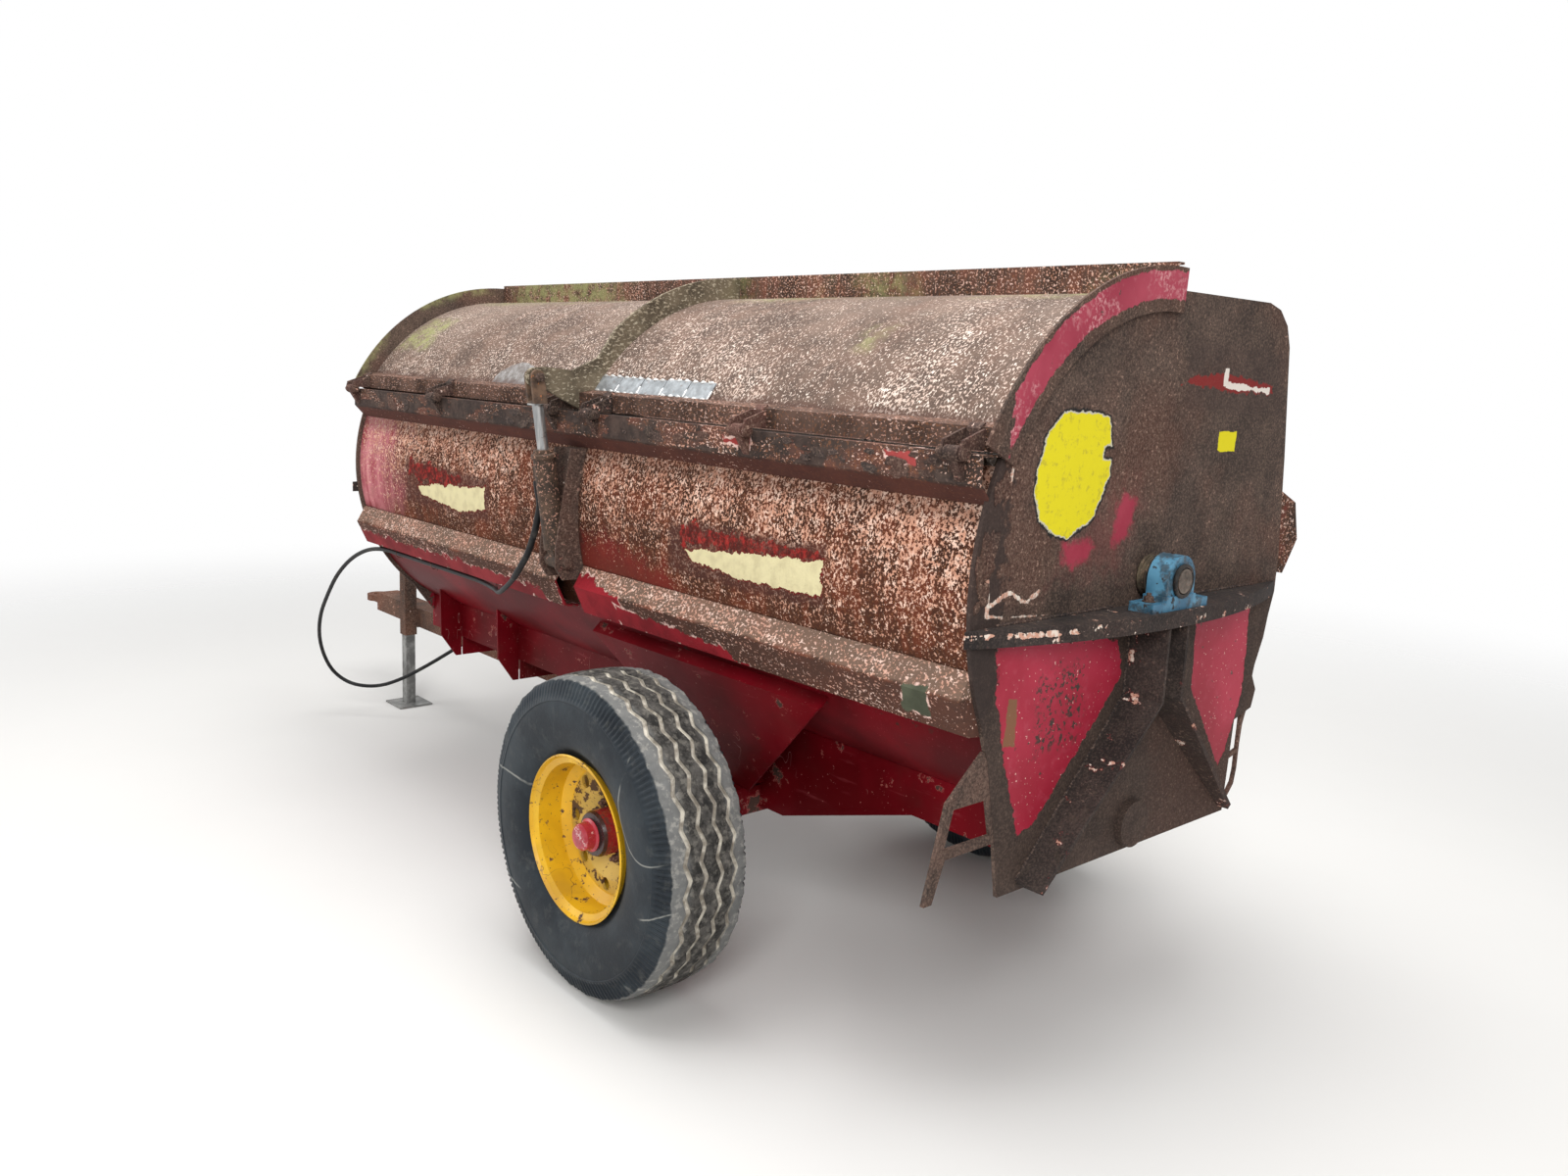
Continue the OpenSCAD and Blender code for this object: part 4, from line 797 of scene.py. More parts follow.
finishes = {
    "panel": panelFinish(),
    "lid": lidFinish(),
    "rearPlate": rearPlateFinish(),
    "frontPlate": darkIron("front_plate_rust", {
        "chips": 0.69, "paint": 0.640, "paintSize": 3.4, "paintTone": (0.24, 0.010, 0.022),
        "paintMore": lambda f: (shelfZ - 0.04 - f.z).fade(-0.01, 0.01) * 0.155}),
    "band": bandFinish(),
    "chassis": redPaint("chassis_red", 0.64, 0.08),
    "chassisWorn": redPaint("chassis_red_worn", 0.585, 0.2),
    "upperRail": railFinish("upper_rail_flaking", {
        "size": 140, "stretch": (0.7, 1, 1), "streak": (4, 20, 20), "red": 0.4, "amount": -0.022,
        "dark": (0.036, 0.025, 0.021), "base": (0.076, 0.050, 0.040), "crust": 0.520, "crustAbove": rotorZ + 0.245,
        "crustMore": lambda f: f.along.fade(0.9, 0.1) * 0.045, "foot": rotorZ + 0.252, "footCover": 0.10,
        "footShadeTone": (0.085, 0.026, 0.019), "depth": 0.0024,
        "remains": [([(0.22, 1.640), (0.34, 1.640), (0.34, 1.672), (0.22, 1.672)], (0.42, 0.055, 0.050), 0.06),
                    ([(0.84, 1.655), (0.95, 1.650), (0.95, 1.680), (0.84, 1.685)], (0.48, 0.08, 0.075), 0.05)]}),
    "lowerRail": railFinish("lower_rail_flaking", {
        "size": 138, "stretch": (0.8, 1, 1), "streak": (5, 20, 20), "red": 0.55, "amount": -0.014,
        "base": (0.098, 0.044, 0.029), "ledge": rotorZ - 0.243, "ledgeCover": 0.055, "foot": rotorZ - 0.250,
        "footCover": 0.015, "footShadeTone": (0.080, 0.038, 0.028),
        "remains": [([(-0.68, 1.02), (-0.20, 1.02), (-0.27, 1.125), (-0.60, 1.18)], (0.30, 0.013, 0.022), 0.10),
                    ([(-0.30, 1.015), (0.34, 1.015), (0.22, 1.066), (-0.30, 1.095)], (0.33, 0.014, 0.024), 0.08),
                    ([(-2.30, 1.015), (-0.72, 1.015), (-0.80, 1.075), (-2.3, 1.085)], (0.27, 0.030, 0.036), 0.13),
                    ([(0.93, 1.05), (1.03, 1.05), (1.03, 1.13), (0.95, 1.13)], (0.105, 0.115, 0.075), 0.05)]}),
    "edgeBar": railFinish("lid_edge_flaking", {
        "size": 160, "stretch": (0.6, 1, 1), "streak": (3, 26, 26), "red": 0.4, "amount": -0.025,
        "base": (0.112, 0.070, 0.054), "warm": (0.145, 0.074, 0.054), "strength": 0.75}),
    "deflector": railFinish("deflector_flaking", {
        "size": 160, "red": 0.85, "amount": -0.025, "warm": (0.20, 0.034, 0.030), "strength": 0.8}),
    "ridge": railFinish("lid_ridge_mossy", {
        "size": 140, "red": 0.5, "amount": 0.01, "base": (0.125, 0.078, 0.058), "moss": 0.50, "mossNear": -1.72,
        "mossy": 0.85}),
    "arm": railFinish("lid_arm_olive", {
        "size": 115, "red": 0.25, "amount": 0.03, "dark": (0.075, 0.058, 0.040), "base": (0.180, 0.145, 0.097),
        "warm": (0.150, 0.105, 0.070), "fleck": (0.25, 0.205, 0.14), "flake": (0.36, 0.30, 0.215),
        "flakePale": (0.50, 0.44, 0.33), "moss": 0.52, "mossy": 0.25, "depth": 0.0036}),
    "shelf": darkIron("shelf_crusted", {"chips": 0.625, "chipSize": 14, "depth": 0.0038, "halo": (0.10, 0.04, 0.035),
                                        "dark": (0.018, 0.015, 0.015), "base": (0.046, 0.036, 0.033), "pits": 0.3,
                                        "warm": (0.055, 0.036, 0.031), "grit": (0.085, 0.063, 0.055),
                                        "flakier": lambda f: ((0.011 - (f.z - shelfZ + 0.016).size()).fade(0.0, 0.006)
                                                              * f.y.fade(-0.28, -0.46) * 0.115)}),
    "legs": darkIron("leg_dark", {"chips": 0.625, "chipSize": 13, "halo": (0.22, 0.030, 0.030),
                                  "dark": (0.022, 0.017, 0.016), "base": (0.056, 0.041, 0.036),
                                  "warm": (0.066, 0.038, 0.031), "pits": 0.35,
                                  "grit": (0.100, 0.072, 0.060)}),
    "bracket": darkIron("bracket_brown", {"chips": 0.70, "base": (0.135, 0.080, 0.062), "warm": (0.15, 0.075, 0.055)}),
    "post": darkIron("post_dark", {"chipSize": 24, "base": (0.085, 0.055, 0.045)}),
    "hinge": darkIron("hinge_rust", {"chips": 0.64, "chipSize": 40, "dark": (0.024, 0.017, 0.015),
                                     "base": (0.070, 0.043, 0.035),
                                     "warm": (0.135, 0.055, 0.042), "halo": (0.26, 0.07, 0.06)}),
    "drawbar": darkIron("drawbar_rust", {"chipSize": 24, "base": (0.150, 0.075, 0.050),
                                         "warm": (0.20, 0.075, 0.045), "halo": (0.22, 0.07, 0.05)}),
    "ram": greasyIron("ram_dark", {"dark": (0.038, 0.027, 0.021), "light": (0.110, 0.068, 0.046), "specks": 0.8}),
    "rotor": greasyIron("rotor_scoured", {"dark": (0.06, 0.045, 0.036), "light": (0.21, 0.17, 0.14),
                                          "specks": 0.2, "metal": 0.5, "rough": 0.55}),
    "galvanised": greasyIron("jack_grey", {"dark": (0.15, 0.15, 0.145), "light": (0.32, 0.32, 0.31),
                                           "specks": 0.3, "speck": (0.2, 0.09, 0.05), "metal": 0.5, "rough": 0.5}),
    "rod": rodFinish(),
    "yellow": yellowFinish(),
    "hub": hubFinish(),
    "tyre": tyreFinish(),
    "blue": blueFinish(),
    "hose": hoseFinish(),
    "weldStrip": bareMetal("weld_strip_steel", (0.50, 0.53, 0.55), 0.30, 0.38),
    "weldBead": bareMetal("weld_bead_bright", (0.90, 0.90, 0.88), 0.10, 0.30),
    "nut": darkIron("nut_rust", {"chips": 0.72, "base": (0.090, 0.052, 0.040)}),
    "scab": darkIron("scab_black", {"chips": 0.74, "dark": (0.020, 0.016, 0.016), "base": (0.060, 0.042, 0.037)}),
    "black": greasyIron("seal_black", {"dark": (0.010, 0.010, 0.010), "light": (0.045, 0.040, 0.036), "specks": 0.1}),
    "twine": greasyIron("twine_straw", {"dark": (0.040, 0.031, 0.023), "light": (0.15, 0.118, 0.078), "specks": 0.3,
                                        "rough": 0.9}),
}

nodeFinish = {
    "barrel_shell": "panel", "front_plate": "frontPlate", "rear_plate": "rearPlate",
    "left_upper_rail": "upperRail", "right_upper_rail": "upperRail",
    "left_lower_rail": "lowerRail", "right_lower_rail": "lowerRail",
    "mouth_deflector": "deflector", "front_shelf": "shelf", "rear_shelf": "shelf",
    "front_bearing": "blue", "rear_bearing": "blue", "rear_stiffener": "legs",
    "light_brackets": "bracket", "ram_post": "post", "hinge_tubes": "hinge",
    "chassis_rails": "chassis", "chassis_ribs": "chassis", "axle_gusset_left": "chassis",
    "axle_gusset_right": "chassis", "axle_beam": "chassisWorn", "drawbar": "drawbar",
    "towing_eye": "drawbar", "jack_sleeve": "drawbar", "jack_leg": "galvanised",
    "drive_guard": "chassisWorn", "input_shaft": "galvanised", "lid_sheet": "lid",
    "lid_ridge": "ridge", "lid_edge_bar": "edgeBar", "lid_end_bands": "band", "lid_arm": "arm",
    "lid_hinges": "hinge", "ram_cylinder": "ram", "ram_rod": "rod", "flail_rotor": "rotor",
    "tyre_left": "tyre", "tyre_right": "tyre", "rim_left": "yellow", "rim_right": "yellow",
    "hub_left": "hub", "hub_right": "hub", "hose": "hose",
}


def paint(piece, finish):
    piece.data.materials.clear()
    piece.data.materials.append(finishes[finish])


for nodeName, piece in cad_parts.items():
    paint(piece, nodeFinish[nodeName])
print("finishes on", len(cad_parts), "nodes")


def place(piece, finish, body):
    paint(piece, finish)
    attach(piece, body)
    return piece


# hose
hoseLook = {
    "radius": 0.009, "sides": 14, "steps": 12,
    # distance along the hose and radius: crimped ferrule, thick sleeve down to the rail, plain hose
    "swell": ((0.0, 0.0090), (0.004, 0.0128), (0.046, 0.0128), (0.050, 0.0122), (0.056, 0.0122), (0.060, 0.0115),
              (0.420, 0.0115), (0.430, 0.0090)),
    "bendsFrom": 6,
}
# route in metres from the axle, as the part's source has it
hoseRoute = [
    (-0.650, -0.7867, 1.4587), (-0.650, -0.775, 1.380), (-0.665, -0.775, 1.325), (-0.695, -0.770, 1.270),
    (-0.735, -0.770, 1.200), (-0.790, -0.770, 1.140), (-0.855, -0.760, 1.090), (-0.945, -0.740, 1.045),
    (-1.050, -0.705, 1.010), (-1.175, -0.660, 1.000), (-1.330, -0.635, 1.000), (-1.560, -0.630, 1.000),
    (-1.800, -0.630, 1.000), (-2.030, -0.630, 1.000), (-2.200, -0.640, 1.000), (-2.350, -0.650, 0.975),
    (-2.500, -0.660, 0.915), (-2.650, -0.665, 0.820), (-2.800, -0.655, 0.700), (-2.945, -0.635, 0.575),
    (-3.050, -0.605, 0.450), (-3.105, -0.565, 0.335), (-3.120, -0.515, 0.240), (-3.095, -0.455, 0.180),
    (-3.035, -0.395, 0.160), (-2.960, -0.325, 0.170), (-2.880, -0.245, 0.215), (-2.800, -0.155, 0.285),
    (-2.730, -0.085, 0.350), (-2.660, -0.030, 0.410), (-2.570, -0.005, 0.460), (-2.460, 0.0, 0.490),
    (-2.350, 0.0, 0.500),
]


def makeHose(look, route):
    path = smoothPath(np.array(route) + (axleX, 0, 0), look["steps"])
    run = lengthsAlong(path)
    where, width = np.array(look["swell"]).T
    # rings at the ferrule's and sleeve's edges besides the even ones
    stops = np.unique(np.concatenate([run, where[1:]]))
    hose = joined("hose_run", [tube(pointsAlong(path, stops), np.interp(stops, where, width), look["sides"])], 60)
    paint(hose, "hose")
    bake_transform(hose)
    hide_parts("hose")
    print("hose length", round(float(run[-1]), 3), "m")


makeHose(hoseLook, hoseRoute)


# tyres
tyreLook = {
    "waves": 32,            # zig-zags round the tread
    "stepsPerWave": 20,
    "swing": 0.0085,        # half the zig-zag's width
    "grooves": (-0.079, -0.0275, 0.0275, 0.079),
    "grooveTop": 0.0085,    # half widths of a groove
    "grooveFloor": 0.0055,
    "grooveDepth": 0.0105,
    "notchDepth": 0.0055,
    "rimRadius": 0.248,
    "halfWidth": 0.152,
    "crown": 0.0105,        # how much lower the tread's edge lies than its middle
}


def tyreSection(look):
    # rows of (across, radius, kind, mark): up one sidewall, over the tread with its grooves, down the other,
    # back inside; kinds are 0 side, 2 notched shoulder, 3 its upper edge, 4 tread
    w, rim, top = look["halfWidth"], look["rimRadius"], tyreRadius
    side = [(w - 0.038, rim - 0.006, 0), (w - 0.026, rim + 0.010, 0), (w - 0.014, rim + 0.026, 0),
            (w - 0.005, rim + 0.058, 0), (w - 0.001, rim + 0.090, 0), (w, rim + 0.120, 0),
            (w - 0.002, rim + 0.150, 0), (w - 0.0035, rim + 0.158, 0), (w - 0.0015, rim + 0.161, 0),
            (w - 0.003, rim + 0.166, 0), (w - 0.006, top - 0.058, 2), (w - 0.010, top - 0.046, 2),
            (w - 0.015, top - 0.032, 2), (w - 0.021, top - 0.020, 2), (w - 0.029, top - 0.0125, 3)]
    crown = lambda a: top - look["crown"] * (abs(a) / 0.115) ** 2.2
    tread = []              # (across, mark, how deep in a groove)
    for g in look["grooves"]:
        tread += [(g - look["grooveTop"], 0.5, 0), (g - look["grooveFloor"], 1.0, 1),
                  (g + look["grooveFloor"], 1.0, 1), (g + look["grooveTop"], 0.5, 0)]
    middles = (0.0145, 0.041, 0.054, 0.065, 0.095, 0.106)
    tread += [(0.0, 0.5, 0)] + [(s * m, 0.5, 0) for m in middles for s in (-1, 1)]
    rows = [(-a, r, kind, 0.0) for a, r, kind in side]
    rows += [(a, crown(a) - deep * look["grooveDepth"], 4, mark) for a, mark, deep in sorted(tread)]
    rows += [(a, r, kind, 0.0) for a, r, kind in reversed(side)]
    rows += [(a, rim - 0.020, 0, 0.0) for a in (w - 0.045, 0.03, -0.03, -w + 0.045)]
    return np.array(rows).T[:, None]


def makeTyre(name, side, look):
    # every section point is turned round the wheel; tread points also swing sideways as a rounded zig-zag
    across, radius, kind, mark = tyreSection(look)
    steps = look["waves"] * look["stepsPerWave"]
    turn = circle(steps)[:, None]
    zigzag = np.arcsin(np.sin(turn * look["waves"]) * 0.985) / 1.397
    swing = look["swing"] * zigzag * np.select([kind == 4, kind == 3], [1, 0.45], 0)
    beat = (np.arange(steps) % 4 < 2)[:, None]           # radial cuts in the shoulder
    cut = np.where((kind == 2) & beat, look["notchDepth"], 0) * ((0.5 + 0.5 * np.sin(turn * 5 + 1.3)) * 0.4 + 0.6)
    # uneven wear of the tread, and scallops worn into the edge of the outer ribs
    worn = (0.0012 * np.sin(turn * 3 + 0.4) - 0.0012) * (kind == 4)
    scallop = np.clip(np.sin(turn * 62 + 0.9 * np.sin(turn * 5)), 0, 1) ** 2 * (0.55 + 0.45 * np.sin(turn * 7 + 2))
    worn = worn - scallop * np.select([kind == 3, (kind == 4) & (np.abs(across) > 0.1)], [0.0065, 0.003], 0)
    a = across + swing - np.sign(across) * cut * 0.8
    r = radius - cut * 0.35 + worn
    grid = np.stack([axleX + r * np.cos(turn), side * wheelY + a, tyreRadius + r * np.sin(turn)], -1)
    tyre = joined(name, [gridShape(grid, closeRows=True)], 32)
    shade = np.where(kind >= 3, np.maximum(mark, 0.42), 0.0) + 0 * turn
    treadMark = tyre.data.attributes.new("treadMark", "FLOAT", "POINT")
    treadMark.data.foreach_set("value", shade.astype(np.float32).ravel())
    return tyre


for nodeName, body, side in (("tyre_left", "wheel_left", -1), ("tyre_right", "wheel_right", 1)):
    tyre = makeTyre(nodeName + "_tread", side, tyreLook)
    place(tyre, "tyre", body)
    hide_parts(nodeName)
print("tyres made")


# small iron
def at(along, y, z):
    return np.array((axleX + along, y, z))


def pointAt(angle, radius, along):      # place on a circle about the rotor's axis; 90 degrees is straight up
    return at(along, math.cos(math.radians(angle)) * radius, rotorZ + math.sin(math.radians(angle)) * radius)


def hexHead(base, axis, width, height, washer=0.0, stud=0.0):
    # chamfered hexagon on a round washer with a stud's end standing out of it
    r = width / 2
    parts = [turned([(washer, 0), (washer, r), (washer + height * 0.8, r), (washer + height, r * 0.86),
                           (washer + height, 0)], base, axis, 6)]
    if washer:
        parts.append(turned([(0, 0), (0, r * 1.28), (washer * 0.8, r * 1.28), (washer, r * 1.2), (washer, 0)],
                                  base, axis, 20))
    if stud:
        top = washer + height
        parts.append(turned([(top - 0.002, 0), (top - 0.002, r * 0.5), (top + stud * 0.8, r * 0.5),
                                   (top + stud, r * 0.38), (top + stud, 0)], base, axis, 12))
    return parts


def bead(path, radius, sides=7, ripple=0.22, pitch=0.006, seed=1):
    # weld bead: a tube whose radius ripples along it
    path = np.asarray(path, float)
    length = lengthsAlong(path)[-1]
    count = max(4, int(length / pitch))
    chance = np.random.default_rng(seed)
    size = radius * (1 + ripple * np.where(np.arange(count) % 2, 1, -1) + chance.uniform(-0.15, 0.15, count))
    size[[0, -1]] = radius * 0.4
    return tube(pointsAlong(path, np.linspace(0, length, count)), size, sides)


def scab(where, normal, along, width, length, thick, seed):
    # loose flake of crust: a ragged low mound, its rim lifted a little
    chance = np.random.default_rng(seed)
    normal = np.asarray(normal, float) / np.linalg.norm(normal)
    along = np.asarray(along, float) - normal * np.dot(along, normal)
    along /= np.linalg.norm(along)
    across = np.cross(normal, along)
    turn = circle(15)
    rough = 1 + chance.uniform(-0.28, 0.22, turn.size)
    rings = []
    for size, lift in ((0.98, -0.0008), (1.0, 0.55), (0.86, 1.0), (0.5, 0.85)):
        u = np.cos(turn) * rough * size * length / 2
        v = np.sin(turn) * rough * size * width / 2
        rise = thick * lift * (1 + chance.uniform(-0.25, 0.25, turn.size)) if lift > 0 else np.full(turn.size, lift)
        rings.append(u[:, None] * along + v[:, None] * across + rise[:, None] * normal)
    points, faces = closedShape(np.array(rings), -0.0008 * normal, thick * 0.8 * normal)
    return points + where, faces


def bent(outline, start, end):
    # strip between two places along whose section is a closed outline of (y, z)
    points, faces = gridShape(np.array([[at(along, y, z) for y, z in outline] for along in (start, end)]))
    n = len(outline)
    return points, faces + [list(range(n)), list(range(n, 2 * n))[::-1]]


smallLook = {
    "weldStrip": {"from": -0.578, "to": 0.028, "low": 147.6, "high": 142.9, "plates": 5, "thick": 0.003},
    "wheelNuts": {"count": 8, "pitch": 0.0845, "width": 0.024, "height": 0.016},
    "twine": {"turns": 15, "radius": 0.0035},
    "ties": (-1.17, -1.72, -2.05),
}


def makeLidStrip(look):
    # short flat plates welded over a tear in the lid, with broken bright beads round them
    outerR = lidRadius + 0.0008
    bounds = np.linspace(look["from"], look["to"], look["plates"] + 1)
    plates, beads = [], []
    for k in range(look["plates"]):
        x0, x1 = bounds[k] + 0.002, bounds[k + 1] - 0.002
        slack = 0.3 * ((k * 7) % 3 - 1)
        angles = np.radians(np.linspace(look["low"] + slack, look["high"] + slack * 0.5, 6))
        ring = [(math.cos(a) * outerR, rotorZ + math.sin(a) * outerR) for a in angles]
        thick = look["thick"] * (1 + 0.25 * (k % 2))
        ring += [(math.cos(a) * (outerR + thick), rotorZ + math.sin(a) * (outerR + thick)) for a in angles[::-1]]
        plates.append(bent(ring, x0, x1))
        # dashes along both long sides and across the joint
        for angle, count in ((look["low"] + slack, 3), (look["high"] + slack * 0.5, 3)):
            for n in range(count):
                a = x0 + (x1 - x0) * (n + 0.12) / count
                b = x0 + (x1 - x0) * (n + 0.74) / count
                beads.append(bead([pointAt(angle, outerR + 0.002, a), pointAt(angle, outerR + 0.002, b)], 0.0056,
                                  seed=k * 10 + n))
        beads.append(bead([pointAt(look["low"], outerR + 0.003, x1), pointAt((look["low"] + look["high"]) / 2,
                           outerR + 0.003, x1 + 0.002)], 0.0036, seed=k))
    place(joined("lid_strip_plates", plates, 30), "weldStrip", "lid")
    place(joined("lid_strip_beads", beads, 60), "weldBead", "lid")


hingeIronLook = {
    "washersAt": 0.034, "headAt": -0.0375, "loopAt": 0.0405,    # along from the hinge's middle
    "washer": [(0, 0), (0, 0.0150), (0.0030, 0.0150), (0.0036, 0.0140), (0.0036, 0)],
    "headWidth": 0.026, "headHeight": 0.011,
    "loopRadius": 0.009, "wireRadius": 0.0016,
    "strapHalf": 0.020, "strapThick": 0.0045, "strapFace": -0.6746,
    # the strap's bend over the angle, from the face and the angle's top
    "strapBend": [(0, -0.016), (0.014, -0.004), (0.0165, -0.0035), (0.0155, 0.001), (0.0115, 0.0005),
                  (-0.0045, -0.013)],
}


def makeHingeIron(look):
    # straps over the angle on the lid, pin heads and split pins at every hinge
    pins, straps, washers = [], [], []
    angleLow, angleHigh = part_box("lid_edge_bar")
    face, foot = look["strapFace"], angleLow.z + 0.004
    strap = [(face, foot)] + [(face + y, angleHigh.z + z) for y, z in look["strapBend"]]
    strap.append((face - look["strapThick"], foot))
    turn = circle(12)
    loop = look["loopRadius"] * np.stack([0.25 * np.sin(turn), np.cos(turn), np.sin(turn)], -1)
    for along in hingesAlong:
        for s in (-1, 1):
            washers.append(turned(look["washer"], at(along + s * look["washersAt"], *hingePin), (s, 0, 0), 20))
        pins += hexHead(at(along + look["headAt"], *hingePin), (-1, 0, 0), look["headWidth"], look["headHeight"])
        wire = at(along + look["loopAt"], *hingePin) + np.vstack([loop, loop[:2]])
        pins.append(tube(wire, look["wireRadius"], 6))
        straps.append(bent(strap, along - look["strapHalf"], along + look["strapHalf"]))
    place(joined("hinge_pin_heads", pins + washers), "nut", "lid")
    place(joined("hinge_straps", straps), "hinge", "lid")


def makeWheelNuts(look):
    for body, side in (("wheel_left", -1), ("wheel_right", 1)):
        parts = []
        for k in range(look["count"]):
            turn = 2 * math.pi * (k + 0.5) / look["count"]
            base = (axleX + look["pitch"] * math.cos(turn), side * (wheelY + 0.0006),
                    tyreRadius + look["pitch"] * math.sin(turn))
            parts += hexHead(base, (0, side, 0), look["width"], look["height"], 0.0035, 0.010)
        place(joined(body + "_nuts", parts), "nut", body)


def makeBearingIron():
    # bolts, seals and grease nipples of both bearings
    for node, out in (("rear_bearing", 1), ("front_bearing", -1)):
        low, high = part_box(node)
        middleX = (low.x + high.x) / 2
        face = high.x if out > 0 else low.x
        parts = []
        for s in (-1, 1):
            parts += hexHead((middleX, s * 0.098, low.z + 0.0245), (0, 0, 1), 0.026, 0.012, 0.003, 0.008)
        parts += hexHead((middleX, 0.0, high.z - 0.001), (0, 0, 1), 0.011, 0.006, 0.0, 0.007)
        place(joined(node + "_bolts", parts), "nut", "spreader")
        ring = [(0.0, 0.0455), (0.004, 0.0455), (0.006, 0.043), (0.006, 0.0365), (0.004, 0.0345), (0.0, 0.0345)]
        place(ringPiece(node + "_seal", (face + out * 0.0004, 0, rotorZ), (out, 0, 0), ring), "black", "spreader")


def ringPiece(name, base, axis, outline, sides=48):
    # closed ring: outline of (distance along the axis, radius) turned about the axis
    return joined(name, [gridShape(turnedRings(outline, base, axis, sides), closeRows=True)], 30)


def makeTwine(look):
    # twine wound round the rotor's shaft between the rear plate and the bearing
    chance = np.random.default_rng(4)
    parts = []
    x0, x1 = rearAlong + 0.006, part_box("rear_bearing")[0].x - axleX - 0.008
    for layer in range(3):
        steps = look["turns"] * 20
        turn = np.linspace(0, look["turns"] * 2 * math.pi, steps)
        drift = np.cumsum(chance.normal(0, 0.0016, steps))
        drift -= np.linspace(drift[0], drift[-1], steps)
        x = (x0 + x1) / 2 + (x1 - x0) * 0.38 * np.sin(turn / 5.0 + layer * 2.1) + drift * 0.4
        r = 0.0365 + 0.0062 * layer + 0.0028 * np.sin(turn * 0.37 + layer) + np.abs(drift) * 0.25
        x = np.clip(x, x0, x1)
        path = np.stack([axleX + x, r * np.cos(turn), rotorZ + r * np.sin(turn)], -1)
        parts.append(tube(path, look["radius"], 5))
    place(joined("rotor_twine", parts, 60), "twine", "rotor")


def makeTies(places):
    # wire loops that hold the hose to the rail's lower flange
    parts = []
    for k, x in enumerate(places):
        turn = np.linspace(0, 2 * math.pi, 27)
        path = at(x, -0.632, 1.0075) + np.stack([0.004 * np.sin(turn * 2 + k), 0.017 * np.cos(turn),
                                                  0.0215 * np.sin(turn)], -1)
        tail = path[-1] + np.array([(0.004, -0.006, -0.006), (0.010, -0.012, -0.014), (0.012, -0.012, -0.026)])
        parts.append(tube(np.vstack([path, tail]), 0.0016, 6))
    place(joined("hose_ties", parts, 60), "nut", "spreader")


def makeRamIron():
    # gland nut at the barrel's top and a nut on the elbow's end, both along the ram; the pin's nut on the post
    foot, eye = np.array(ramFoot), np.array(ramEye)
    axis = np.array((0, *(eye - foot) / np.linalg.norm(eye - foot)))
    base = at(-ramAhead, *foot)
    gland = [(0.3405, 0.0364), (0.3405, 0.0400), (0.3430, 0.0415), (0.3540, 0.0415), (0.3565, 0.0395), (0.3585, 0.0360),
             (0.3585, 0.0325), (0.3405, 0.0325)]
    place(ringPiece("ram_gland", base, axis, gland, 12), "ram", "ram_barrel")
    elbow = base + axis * 0.2635 + (-0.065, 0, 0)
    hexes = [turned([(0, 0), (0, 0.0125), (0.012, 0.0125), (0.014, 0.0112), (0.014, 0)], elbow, axis, 6)]
    hexes.append(turned([(0, 0), (0, 0.0140), (0.010, 0.0140), (0.012, 0.0125), (0.012, 0)],
                              base + axis * 0.300 + (-0.0365, 0, 0), (-1, 0, 0), 6))
    place(joined("ram_fittings", hexes), "nut", "ram_barrel")
    low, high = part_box("ram_rod")
    heads = hexHead((high.x - 0.0005, *eye), (1, 0, 0), 0.030, 0.011)
    heads += hexHead((low.x + 0.0005, *eye), (-1, 0, 0), 0.030, 0.011)
    place(joined("rod_pin_heads", heads), "nut", "ram_piston")
    nuts = hexHead(at(0.062 - ramAhead, *foot), (1, 0, 0), 0.036, 0.014, 0.003)
    nuts += hexHead(at(-0.062 - ramAhead, *foot), (-1, 0, 0), 0.036, 0.014, 0.003)
    place(joined("post_pin_nuts", nuts), "nut", "spreader")


def makeScabs():
    # crust that lifts off: on the upper rail's face and along the rear plate's left edge
    chance = np.random.default_rng(11)
    parts = []
    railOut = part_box("left_upper_rail")[0].y
    for k in range(46):
        x = chance.uniform(-2.1, 0.55) if k % 4 else chance.uniform(0.55, 1.05)
        if min(abs(x - h) for h in (*hingesAlong, -ramAhead)) < 0.075:
            continue
        z = rotorZ + chance.uniform(0.262, 0.312)
        size = chance.uniform(0.018, 0.060)
        parts.append(scab(at(x, railOut, z), (0, -1, 0), (1, 0, chance.uniform(-0.3, 0.3)), size * 0.55, size * 1.3,
                          chance.uniform(0.0015, 0.0032), 100 + k))
    place(joined("rail_scabs", parts, 50), "scab", "spreader")
    parts = []
    for k in range(40):
        angle = chance.uniform(150, 203)
        r = barrelRadius + 0.015 - chance.uniform(0.014, 0.062)
        where = pointAt(angle, r, rearAlong)
        if where[2] < shelfZ + 0.03:
            continue
        size = chance.uniform(0.020, 0.058)
        tangent = (0, -math.sin(math.radians(angle)), math.cos(math.radians(angle)))
        parts.append(scab(where, (1, 0, 0), tangent, size * 0.6, size * 1.2, chance.uniform(0.002, 0.005), 200 + k))
    place(joined("plate_scabs", parts, 50), "scab", "spreader")


def makeWelds():
    # beads where plates of the rear meet
    face = rearAlong + 0.0012
    lines = [
        [at(face, -0.62, shelfZ + 0.002), at(face, -0.14, shelfZ + 0.002)],
        [at(face, 0.15, shelfZ + 0.002), at(face, 0.60, shelfZ + 0.002)],
        [at(face, 0.052, rotorZ - 0.325), at(face, 0.052, shelfZ - 0.045)],
        [at(face, -0.052, rotorZ - 0.325), at(face, -0.052, shelfZ - 0.045)],
        [at(face, -0.053, rotorZ - 0.322), at(face, -0.462, 0.621)],
        [at(face, 0.053, rotorZ - 0.322), at(face, 0.541, 0.621)],
    ]
    parts = [bead(line, 0.0042, 6, 0.16, 0.009, 30 + k) for k, line in enumerate(lines)]
    place(joined("rear_welds", parts, 60), "scab", "spreader")


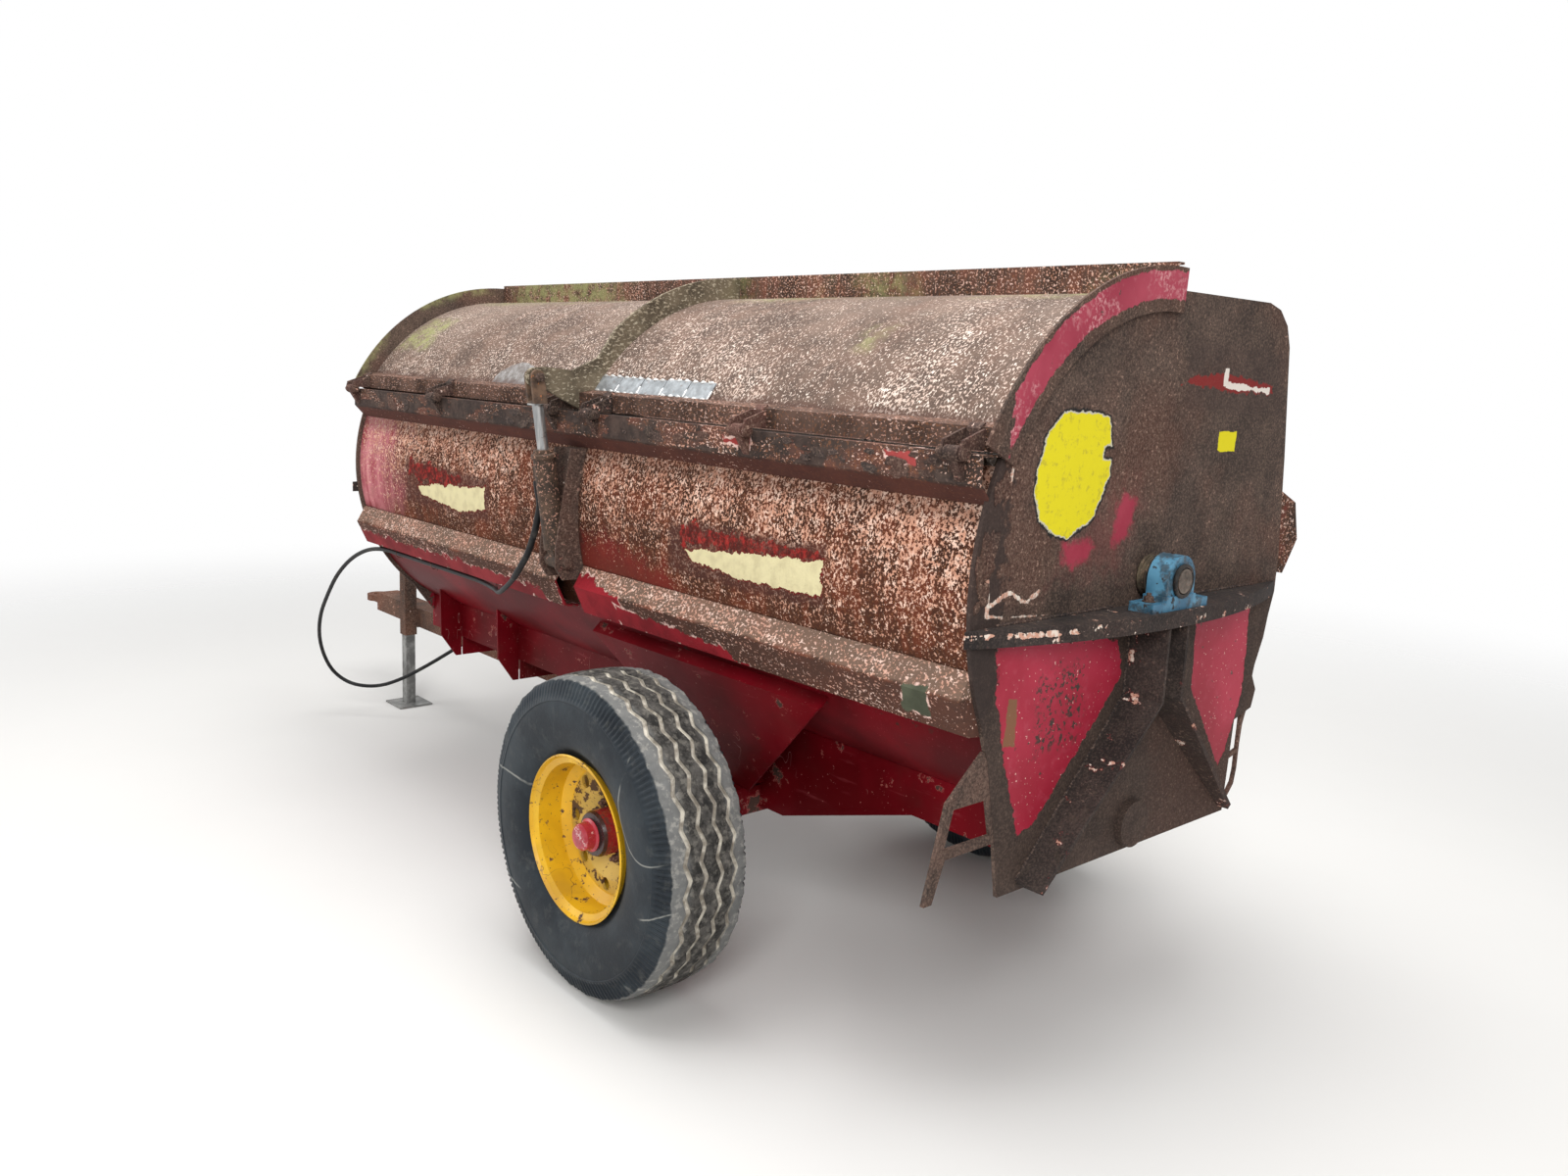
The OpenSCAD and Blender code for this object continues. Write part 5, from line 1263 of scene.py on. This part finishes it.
makeLidStrip(smallLook["weldStrip"])
makeHingeIron(hingeIronLook)
makeWheelNuts(smallLook["wheelNuts"])
makeBearingIron()
makeTwine(smallLook["twine"])
makeTies(smallLook["ties"])
makeRamIron()
makeScabs()
makeWelds()
print("small iron made")


# studio
studio = {
    "floorTone": (0.80, 0.79, 0.77),
    "floorSize": 60.0,
    "floorZ": -0.002,
    "ahead": 0.6,               # of the axle: the machine's middle, at which the lamps aim
    "floorFade": (2.8, 8.5),   # distance from the machine at which the floor begins and ends to give way to white
    "sky": 0.34,
    "lamps": (
        # name, place, size, power
        ("overhead", (0.5, -0.5, 6.5), 5.0, 390),
        ("key", (6.0, -5.5, 5.0), 3.2, 390),
        ("fill", (-5.5, -6.0, 3.2), 4.0, 150),
        ("back", (-2.0, 7.0, 4.5), 4.0, 120),
    ),
}


def makeStudio(look):
    h, z = look["floorSize"] / 2, look["floorZ"]
    floor = meshPiece("floor", [(-h, -h, z), (h, -h, z), (h, h, z), (-h, h, z)], [[0, 1, 2, 3]])
    finish = Finish("floor_pale")
    tone = look["floorTone"]
    finish.colour = finish.mix(finish.noise(3, 3) * 0.3, tone, tuple(c * 0.94 for c in tone))
    away = distance(finish.along + look["ahead"], finish.y)
    feed(finish.tree, finish.shader.inputs["Alpha"], away.fade(*look["floorFade"][::-1]))
    floor.data.materials.append(finish.material)
    finish.done(0.8)
    for name, where, size, power in look["lamps"]:
        data = bpy.data.lights.new(name, "AREA")
        data.size, data.energy = size, power
        lamp = bpy.data.objects.new(name, data)
        bpy.context.scene.collection.objects.link(lamp)
        lamp.location = Vector(where) + Vector((axleX - look["ahead"], 0, 0))
        aim = Vector((axleX - look["ahead"], 0, 1.0)) - lamp.location
        lamp.rotation_euler = aim.to_track_quat("-Z", "Y").to_euler()
    world = bpy.data.worlds.new("studio_sky")
    bpy.context.scene.world = world
    world.use_nodes = True
    tree = world.node_tree
    tree.nodes.clear()
    output = tree.nodes.new("ShaderNodeOutputWorld")
    sky = tree.nodes.new("ShaderNodeBackground")
    rays = tree.nodes.new("ShaderNodeLightPath")
    kinds = ("Is Camera Ray", "Is Glossy Ray", "Is Transmission Ray")
    seen = reduce(Wire.most, [Wire(tree, rays.outputs[kind]) for kind in kinds])
    feed(tree, sky.inputs["Color"], (1, 1, 1))
    feed(tree, sky.inputs["Strength"], seen * (1 - look["sky"]) + look["sky"])
    tree.links.new(sky.outputs[0], output.inputs[0])


makeStudio(studio)
bpy.context.scene.view_settings.view_transform = "Standard"
print("studio lit")
